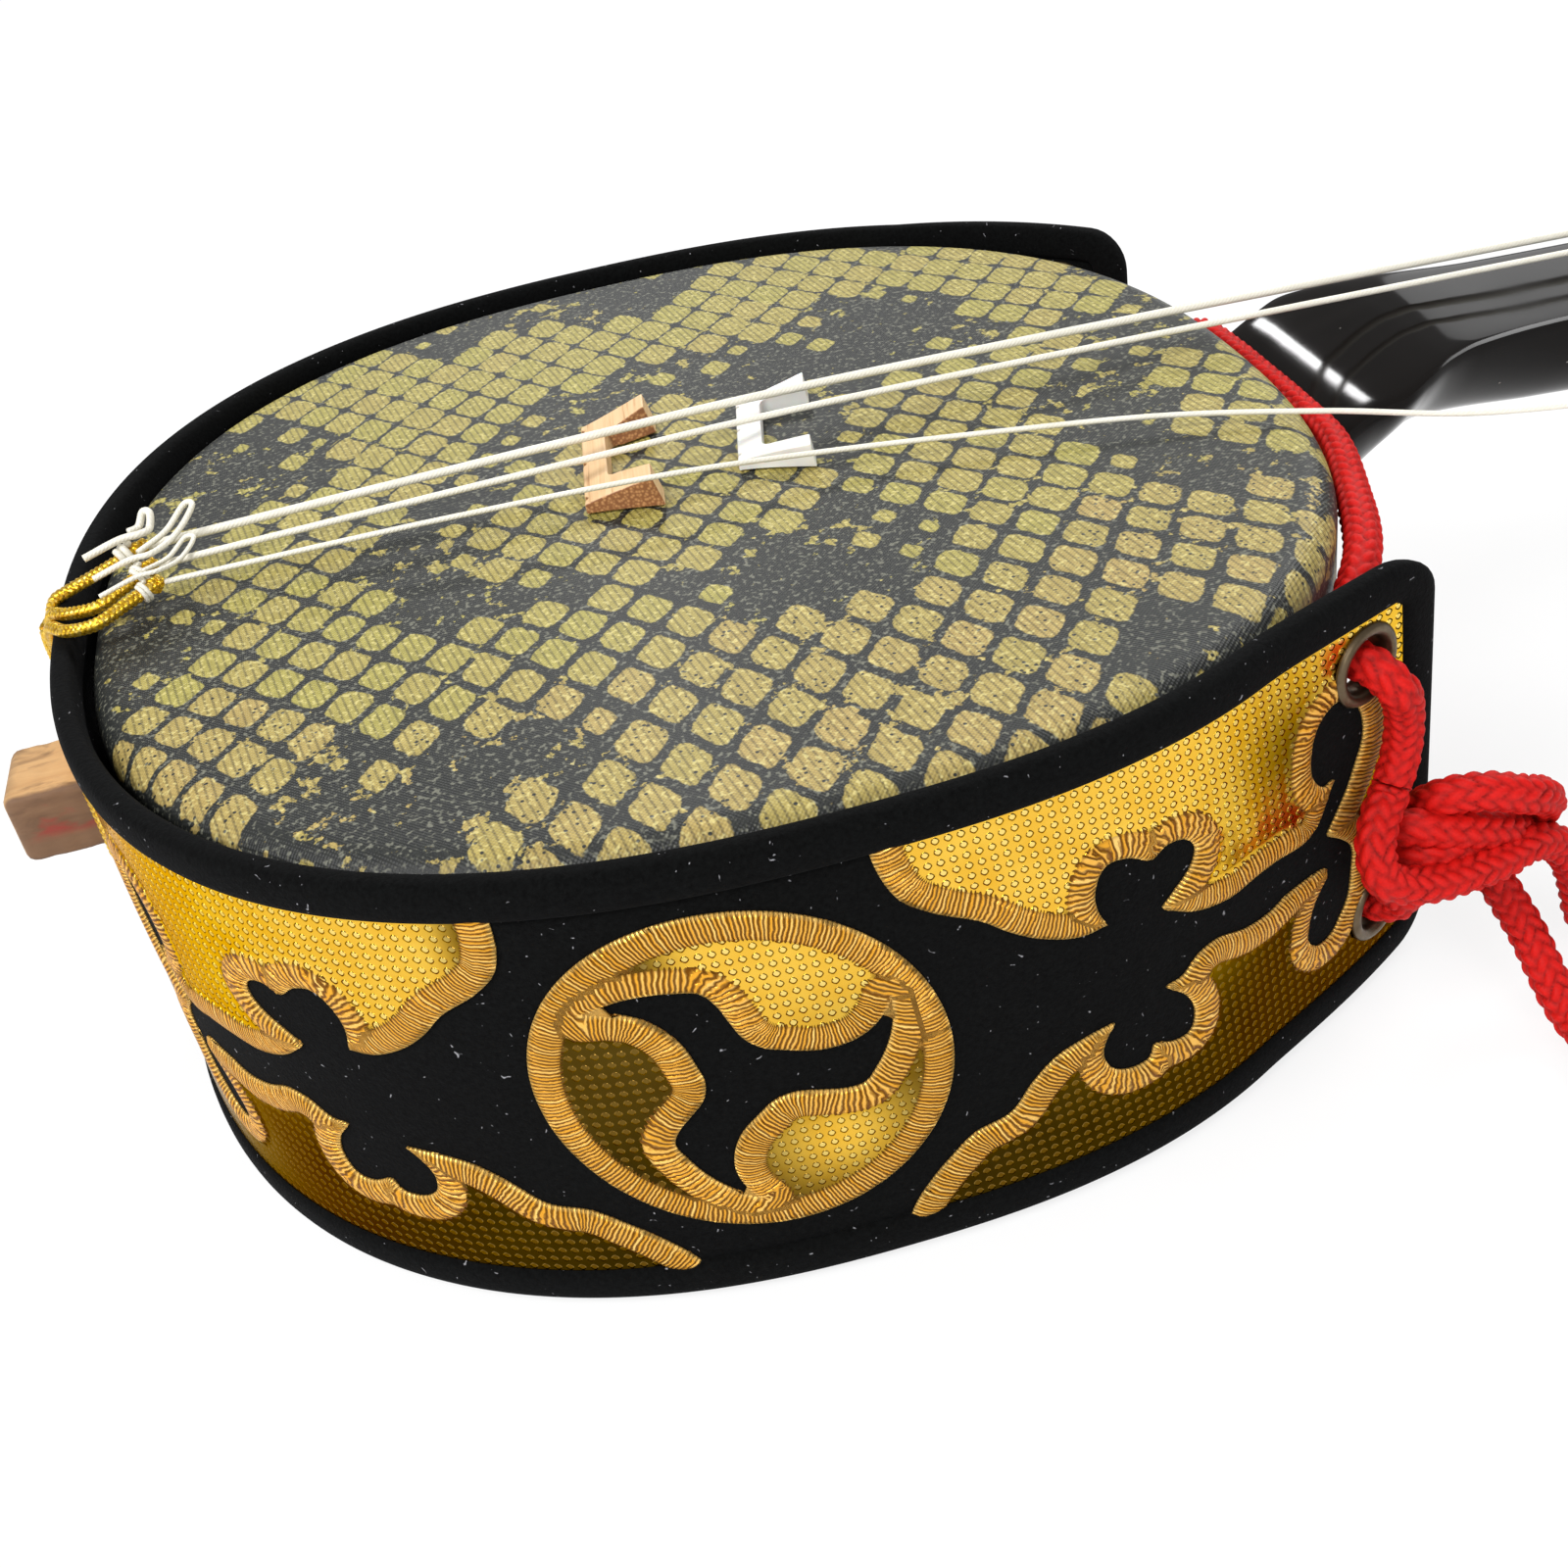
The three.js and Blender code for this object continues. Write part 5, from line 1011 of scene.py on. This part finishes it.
off_middle = add("Math", {0: sides_of.outputs[2], 1: 0.0438}, operation="SUBTRACT")
band = add("MapRange", {0: add("Math", {0: off_middle}, operation="ABSOLUTE"), 1: 0.0042, 2: 0.0022})
stain = add("Math", {0: add("Math", {0: stain, 1: band}, operation="MULTIPLY"), 1: near_side},
            operation="MULTIPLY")
shade = add("Mix", {0: stain, 6: shade, 7: "#8b2a20"})
look = surface(shade, grain, 0.35, 0.0005, {"Roughness": 0.68})
add("OutputMaterial", {"Surface": look})

stick_x = np.concatenate([[-115, -114.9, -114.5, -113.9], np.linspace(-113, -93, 26), np.linspace(-90, 72, 24),
                          [95]])
stick_shrink = np.concatenate([[2.2, 1.2, 0.5, 0.15], np.zeros(51)])
corner_turn = np.linspace(0, np.pi / 2, 5)
stick_section = []
for across, rise, cut in ((1, 1, 0.9), (-1, 1, 1.3), (-1, -1, 0.9), (1, -1, 0.9)):
    arc = np.stack([np.cos(corner_turn), np.sin(corner_turn)], axis=1)[::across * rise]
    stick_section.append(np.array([across * (8 - cut), 42.4 + rise * (6.05 - cut)]) + arc * cut * (across,
                                                                                                   rise))
stick_section = np.vstack(stick_section)
middle = np.array([0, 42.4])
away = (stick_section - middle) / np.linalg.norm(stick_section - middle, axis=1)[:, None]
places = stick_section[None] - away[None] * stick_shrink[:, None, None]
knife = 0.16 * np.sin(stick_x[:, None] * 0.9 + 2 * places[...,
                                                          0]) * np.sin(stick_x[:, None] * 0.37 + places[..., 1])
places = places - away[None] * np.abs(knife)[..., None]
stick = np.concatenate([np.broadcast_to(stick_x[:, None, None], (len(stick_x), 20, 1)), places], axis=-1)
build("core_stick_bare", bare_wood, "frame_wood", (), *capped(stick))


# ---- Nut ------------------------------------------------------------------------------
# A bar of bone glued across the face in front of the pegbox, with three shallow notches.
bone = grained("polished_bone", {"Scale": 1.0, "Detail": 4.0}, "#d9cba8", "#f0e8d2", relief=(0.1, 0.0002),
               stretch=(900.0, 120.0, 900.0),
               look={"Roughness": 0.36, "Subsurface Weight": 0.08, "Subsurface Scale": 0.001})


def plate(name, material, slot, node, floor, top, body="instrument", bevel=0.25):
    """A flat plate between two outlines: its floor, its top, and one wall face for each length
    of the outline. A bevel rounds every edge."""
    count = len(floor)
    ring = np.arange(count)
    walls = np.stack([ring, np.roll(ring, -1), np.roll(ring, -1) + count, ring + count], axis=1)
    faces = [ring[::-1].tolist(), (ring + count).tolist()] + walls.tolist()
    piece = build(name, material, slot, (node,), np.vstack([floor, top]), faces, body=body)
    rounded = piece.modifiers.new("rounded_edges", "BEVEL")
    rounded.width, rounded.segments, rounded.harden_normals = bevel / 1000, 3, True
    rounded.limit_method, rounded.angle_limit = "ANGLE", np.radians(35)
    piece.data.set_sharp_from_angle(angle=np.radians(35))


string_radii = (0.7, 0.55, 0.43)
nut_edge = [(-11.9, 54.3), (11.9, 54.3), (10.4, 57.3)]
for middle, radius in zip((7, 0, -7), string_radii):
    nut_edge += [(middle + 2 * radius, 57.3), (middle + radius, 57.3 - 0.7 * radius), (middle, 57.3 - radius),
                 (middle - radius, 57.3 - 0.7 * radius), (middle - 2 * radius, 57.3)]
nut_edge = np.array(nut_edge + [(-10.4, 57.3)])
nut_sides = [np.insert(nut_edge, 0, x, axis=1) for x in (544.6, 548.8)]
plate("nut_bone_bar", bone, "nut_bone", "nut", *nut_sides)


# ---- Pegs -----------------------------------------------------------------------------
# Three turned pegs of dark hardwood, oiled, with five-lobed grips. Each turns in its bore.
dark_wood = grained("oiled_dark_hardwood", {"Scale": 1.0, "Detail": 5.0, "Roughness": 0.6}, "#120c09",
                    "#3a271c",
                    gloss={3: 0.24, 4: 0.42}, relief=(0.15, 0.0002), stretch=(900.0, 60.0, 900.0),
                    look={"Coat Weight": 0.2, "Coat Roughness": 0.2})
grip = np.array([(0, 0.62, 0), (0.06, 0.72, 0), (0.14, 0.5, 0), (0.3, 0.72, 0.1), (0.6, 0.95, 0.1),
                 (0.86, 1, 0.1),
                 (0.96, 0.8, 0.08), (1, 0.4, 0)])
grip = along_route(np.stack([19.5 + 47 * grip[:, 0], 9 * grip[:, 1], 10 * grip[:, 2]], axis=1), 0.8)
shaft_y = np.linspace(-18.5, 19.5, 30)[:-1]
shaft = np.stack([shaft_y, np.interp(shaft_y, (-18.5, 19.5), (4.0, 4.6)), 0 * shaft_y], axis=1)
shaft = np.vstack([(-18.5, 2.6, 0), (-18.5, 3.6, 0), (-18.3, 3.95, 0), shaft[1:], grip, (66.5, 1.5, 0)])
turn = circle(60)
for i, (peg_x, peg_z, side) in enumerate(peg_places, 1):
    reach = shaft[:, 1:2] * (1 + shaft[:, 2:] / 10 * np.cos(5 * turn))
    turned_peg = np.stack([peg_x + reach * np.cos(turn), side * shaft[:, :1] + 0 * reach,
                           peg_z + reach * np.sin(turn)], axis=-1)
    build(f"peg_{i}_turned", dark_wood, "black_lacquer", (f"peg_{i}",), *capped(turned_peg), body=f"peg_{i}")


# ---- Tail cord ------------------------------------------------------------------------
# Gold braid, 3.7 mm thick, looped round the stub behind the band. It comes up over the band
# and parts into three legs, each ending in a knot that holds one string.
gold_yarn = start_material("metallised_polyester_braid")
spot = add("TexCoord").outputs["Object"]
swell = add("Attribute", attribute_name="swell").outputs["Fac"]
glint = add("TexVoronoi", {"Vector": spot, "Scale": 2400.0})
# Painted shade: the braid is darker where its surface dips between yarns
painted_dip_shade = add("MapRange", {0: swell, 1: 0.1, 2: 0.85})
shade = add("Mix", {0: painted_dip_shade, 6: "#8a4c08", 7: "#f3c42a"})
# Painted glints where the cells of a fine pattern are brightest
shade = add("Mix",
            {0: add("MapRange", {0: glint.outputs["Color"], 1: 0.55, 2: 0.8, 4: 0.6}), 6: shade, 7: "#ffe27a"})
look = surface(shade, glint.outputs["Color"], 0.6, 0.0002, {"Metallic": 0.75, "Roughness": 0.3})
add("OutputMaterial", {"Surface": look})

trunk = along_route([(-100.95, 6.8, 47), (-100.95, 7.6, 52), (-100.95, 7.2, 58), (-100.95, 5.6, 64),
                     (-100.4, 3.8, 68.6), (-99.9, 3, 70)], 0.25)
build("tail_cord_trunk", gold_yarn, "gold_braid", ("tail_cord",), *braided(trunk, 1.95, 8, 1.05, 0.5, 40))
corner = np.linspace(0, np.pi / 2, 9)[:, None]
loop = np.vstack([np.array([-100.95, a * 8, 42.4 + b * 6.05]) + 1.6 * np.hstack([0 * corner, a * np.cos(corner),
                                                                                 b * np.sin(corner)])[::a * b]
                  for a, b in ((1, 1), (-1, 1), (-1, -1), (1, -1))])
loop = along_route(np.vstack([loop, loop[:1]]), 0.25)[:-1]
build("tail_cord_loop", gold_yarn, "gold_braid", (), *braided(loop, 1.36, 6, 1.05, 0.4, 32))
knot_places = np.array([(-84.4, 9.2, 76.7), (-82.6, 1.4, 76.7), (-81.5, -5, 76.7)])
leg_routes = [
    [(-100.9, 5.8, 66), (-100.1, 5.6, 70.3), (-98.5, 5.2, 73.2), (-96, 5, 74.3), (-91, 6.4, 75.4)],
    [(-100.3, 4.2, 66), (-99.9, 2.8, 70.2), (-98.4, 0.6, 73.2), (-95.6, -2.6, 74.2), (-90.6, -4.4, 75),
     (-87.4, -2.8, 75.8)],
    [(-100.6, 3.2, 66), (-99.9, 0.4, 69.8), (-98.4, -3.4, 73), (-95.4, -8, 74.1), (-90.6, -10, 75),
     (-86.4, -7.9, 75.8)],
]
turn = np.linspace(0.1, 2 * np.pi - 0.1, 90)
overhand = np.stack([np.sin(turn) + 2 * np.sin(2 * turn), -np.sin(3 * turn),
                     np.cos(turn) - 2 * np.cos(2 * turn)], axis=1)
for i, (knot, route) in enumerate(zip(knot_places, leg_routes), 1):
    leg = along_route([*route, knot], 0.2)
    build(f"tail_cord_leg_{i}", gold_yarn, "gold_braid", (), *braided(leg, 1.05, 5, 0.85, 0.32, 24))
    build(f"tail_cord_knot_{i}", gold_yarn, "gold_braid", (),
          *braided(knot + 0.33 * overhand, 0.62, 4, 0.6, 0.2, 20))


# ---- Strings --------------------------------------------------------------------------
# Three strings of twisted white polyester in a smooth coat, 1.4, 1.1 and 0.86 mm thick. Each
# is tied to its gold knot with a bow, and its other end winds round its peg.
string_white = start_material("coated_twisted_polyester_string")
spot = add("TexCoord").outputs["Object"]
cord_map = add("SeparateXYZ", {0: add("UVMap", uv_map="cord")})
twist = add("Math", {0: cord_map.outputs[0], 1: cord_map.outputs[1]})
twist = add("Math", {0: add("Math", {0: twist, 1: 2 * np.pi / 0.7}, operation="MULTIPLY")}, operation="SINE")
twist = add("MapRange", {0: twist, 1: -1.0, 2: 1.0})
dirt = add("TexNoise", {"Vector": spot, "Scale": 300.0, "Detail": 3.0})
shade = add("Mix", {0: dirt, 6: "#dcd8c8", 7: "#f0ede2"})
shade = add("Mix", {0: add("Math", {0: twist, 1: 0.25}, operation="MULTIPLY"), 6: shade, 7: "#c9c2ae"})
look = surface(shade, twist, 0.3, 0.0001, {"Roughness": 0.38})
add("OutputMaterial", {"Surface": look})


def tied_string(name, path, radius, replaces=(), sides=14):
    """A length of string along a path, with its map: how far round it, and how far along."""
    run = run_along(path)
    around, down = np.broadcast_arrays(np.arange(sides) * 2 * np.pi * radius / sides, run[:, None])
    laid = np.stack([np.append(around.ravel(), [0, 0]), np.append(down.ravel(), [0, run[-1]])], axis=1)
    build(name, string_white, "string_fibre", replaces, *capped(tube(path, radius, sides)), maps={"cord": laid})


string_routes = [
    [(-83.5, 9.2, 76.7), (-80.5, 9.2, 76.75), (-15.2, 8.98, 77.6), (21.8, 8.85, 77.6), (279.3, 7.88, 68.06),
     (543.9, 7, 57.8), (549.5, 7, 57.8), (562.2, 4.15, 45.68), (565, 4.15, 45.33)],
    [(-81.8, 1.4, 76.7), (-78.8, 1.4, 76.75), (-15.2, 1.26, 77.45), (21.8, 1.18, 77.45), (279.3, 0.56, 67.91),
     (544.05, 0, 57.72), (549.35, 0, 57.72), (586.8, 1.65, 44.55), (589, 1.65, 44.27)],
    [(-80.7, -5, 76.7), (-77.8, -5.1, 76.75), (-40, -7.6, 77.4), (-4, -10.8, 77.4), (19, -10.4, 75),
     (45, -16, 74.2), (70, -23.4, 73.8), (92, -32, 72.6), (113, -40.5, 70.6),
     (150, -45, 68.5), (220, -40, 66), (320, -29, 62.5), (430, -17, 59.6), (544.17, -7, 57.67),
     (549.23, -7, 57.67), (611.28, -0.79, 43.46), (613, -0.79, 43.24)],
]
bow_routes = [
    [(-92.55, 7.01, 77.97), (-86.55, 8.21, 79.17), (-83.36, 8.35, 79.28), (-82.3, 9.96, 79.06),
     (-81.71, 11.5, 81), (-82.69, 12.3, 81), (-84.08, 11.41, 79.06), (-85.52, 10.48, 79.06)],
    [(-90.61, -0.71, 77.83), (-84.61, 0.49, 79.03), (-81.6, 0.62, 79.14), (-77.73, 5.75, 79.29),
     (-74.9, 10.21, 81.4), (-75.9, 10.99, 81.4), (-79.55, 7.17, 79.29), (-83.68, 2.57, 78.92)],
    [(-89.32, -6.93, 77.72), (-83.32, -5.73, 78.92), (-80.47, -5.63, 79.02), (-77.44, -0.54, 77.85),
     (-75.36, 3.87, 78.8), (-76.44, 4.53, 78.8), (-79.4, 0.66, 77.85), (-82.65, -4.06, 78.82)],
]
winding_starts, turn_gap = (4.15, 1.65, -0.79), 0.55
for i, radius in enumerate(string_radii):
    tied_string(f"string_{i + 1}_drawn", along_route(string_routes[i], 1.2), radius, (f"string_{i + 1}",))
    tied_string(f"string_bow_{i + 1}_tied", along_route(bow_routes[i], 0.3), 0.85 * radius,
                (f"string_bow_{i + 1}",))
    # Two turns round the neck of the gold knot hold the bow down
    knot = knot_places[i]
    along = np.array(leg_routes[i][-1]) - knot
    along = along / np.linalg.norm(along)
    level = np.cross(along, (0, 0, 1.0))
    level /= np.linalg.norm(level)
    turn = np.linspace(0, 4 * np.pi, 90)[:, None]
    spoke = np.cos(turn) * np.cross(level, along) + np.sin(turn) * level
    hitch = knot + along * (1.3 + turn / (4 * np.pi) * 1.6 * radius * 2) + (1.0 + 0.75 * radius) * spoke
    tied_string(f"string_hitch_{i + 1}", hitch, 0.8 * radius)
    peg_x, peg_z, side = peg_places[i]
    turn = np.linspace(0, 4 * np.pi, 160)
    pitch_down = (2 * radius + turn_gap) * turn / (2 * np.pi)
    reach = 4.75 + radius
    coil = np.stack([peg_x + reach * np.sin(turn), winding_starts[i] - pitch_down,
                     peg_z + reach * np.cos(turn)], axis=1)
    tied_string(f"winding_{i + 1}_wound", coil, radius, (f"winding_{i + 1}",))


# ---- Bridges --------------------------------------------------------------------------
# Two bridges lie flat on the skin under the slack strings, crest towards the tail: one sawn
# from thick bamboo, and a spare one moulded from white plastic.
bamboo = start_material("sawn_bamboo")
spot = add("TexCoord").outputs["Object"]
# The fibres run along the crest: long streaks on the flat sides, dots on the cut ends
laid = add("Mapping", {"Vector": spot, "Rotation": (0, 0, np.radians(7))})
fibre = add("TexNoise", {"Vector": add("Mapping", {"Vector": laid, "Scale": (1500.0, 40.0, 1500.0)}),
                         "Scale": 1.0, "Detail": 4.0, "Roughness": 0.6})
bundles = add("TexVoronoi",
              {"Vector": add("Mapping", {"Vector": laid, "Scale": (1900.0, 60.0, 1900.0)}), "Scale": 1.0})
facing = add("SeparateXYZ", {0: add("Mapping", {"Vector": add("TexCoord").outputs["Normal"],
                                                "Rotation": (0, 0, np.radians(7))})})
cut_end = add("MapRange", {0: add("Math", {0: facing.outputs[1]}, operation="ABSOLUTE"), 1: 0.45, 2: 0.8})
flat_side = add("Mix", {0: fibre, 6: "#c9965f", 7: "#f0d4a8"})
lines = add("MapRange", {0: fibre, 1: 0.40, 2: 0.34, 4: 0.55})
flat_side = add("Mix", {0: lines, 6: flat_side, 7: "#94602f"})
dots = add("MapRange", {0: bundles.outputs["Distance"], 1: 0.2, 2: 0.6})
end_side = add("Mix", {0: dots, 6: "#cc9664", 7: "#94603c"})
shade = add("Mix", {0: cut_end, 6: flat_side, 7: end_side})
look = surface(shade, fibre, 0.25, 0.0002, {"Roughness": 0.5, "Coat Weight": 0.1, "Coat Roughness": 0.3})
add("OutputMaterial", {"Surface": look})

white_plastic = grained("moulded_white_abs", {"Scale": 240.0, "Detail": 3.0}, "#d8d7d2", "#e9e8e4",
                        gloss={3: 0.3, 4: 0.45}, relief=(0.08, 0.0003),
                        look={"Subsurface Weight": 0.15, "Subsurface Scale": 0.0015})


def arc(start, middle, end, steps=12):
    """Places on a curve that leaves start towards middle and comes into end from it: squares
    of the shares weigh the ends, and twice their product the middle."""
    t = np.linspace(0, 1, steps + 1)[1:, None]
    return (1 - t)**2 * np.array(start) + 2 * t * (1 - t) * np.array(middle) + t**2 * np.array(end)


for (name, node, height, lean, crest_half, foot_half, gap_half, arch_half, arch_top,
     crest_thick, foot_thick, notch, spacing, yaw, middle, finish, slot) in (
    ("bamboo_bridge_sawn", "bamboo_bridge", 12.3, 1.4, 14.5, 16.3, 10.9, 8.5, 4.5, 1.7, 5.0, 0.8, 12.4, -7,
     (-15, 8.6), bamboo, "bamboo"),
    ("white_bridge_moulded", "white_bridge", 12.1, 0.5, 11.3, 14.0, 10.2, 8.8, 4.2, 1.7, 4.0, 0.6, 9.0, -11,
     (10.2, 7.7), white_plastic, "white_plastic"),
):
    near_leg = np.vstack([arc((0, -crest_half), (height / 3, -crest_half), (height, -foot_half)),
                          [(height, -gap_half), (arch_top + 2, -arch_half)],
                          arc((arch_top + 2, -arch_half), (arch_top, -arch_half), (arch_top, 2 - arch_half))])
    half_edge = np.vstack([near_leg, near_leg[::-1] * (1, -1)])
    crest = []
    for side in (1, 0, -1):
        groove = np.linspace(1, -1, 7)
        crest.append(np.stack([notch * (1 - groove**2), side * spacing + notch * groove], axis=1))
    edge = np.vstack([half_edge, [(0, crest_half)], *crest, [(0, -crest_half)]])
    # The thickness grows evenly from crest to feet, and the feet's ends lean in. Turned by the
    # yaw and put on the skin
    turn = np.radians(yaw)
    thick = crest_thick + (foot_thick - crest_thick) * edge[:, 0] / height
    outlines = []
    for rise, reach in ((0 * thick, edge[:, 0]), (thick, edge[:, 0] * (1 - lean / height))):
        x = reach * np.cos(turn) - edge[:, 1] * np.sin(turn) + middle[0]
        y = reach * np.sin(turn) + edge[:, 1] * np.cos(turn) + middle[1]
        outlines.append(np.stack([x, y, 71.6 + rise], axis=1))
    plate(name, finish, slot, node, *outlines, body=node, bevel=0.3)
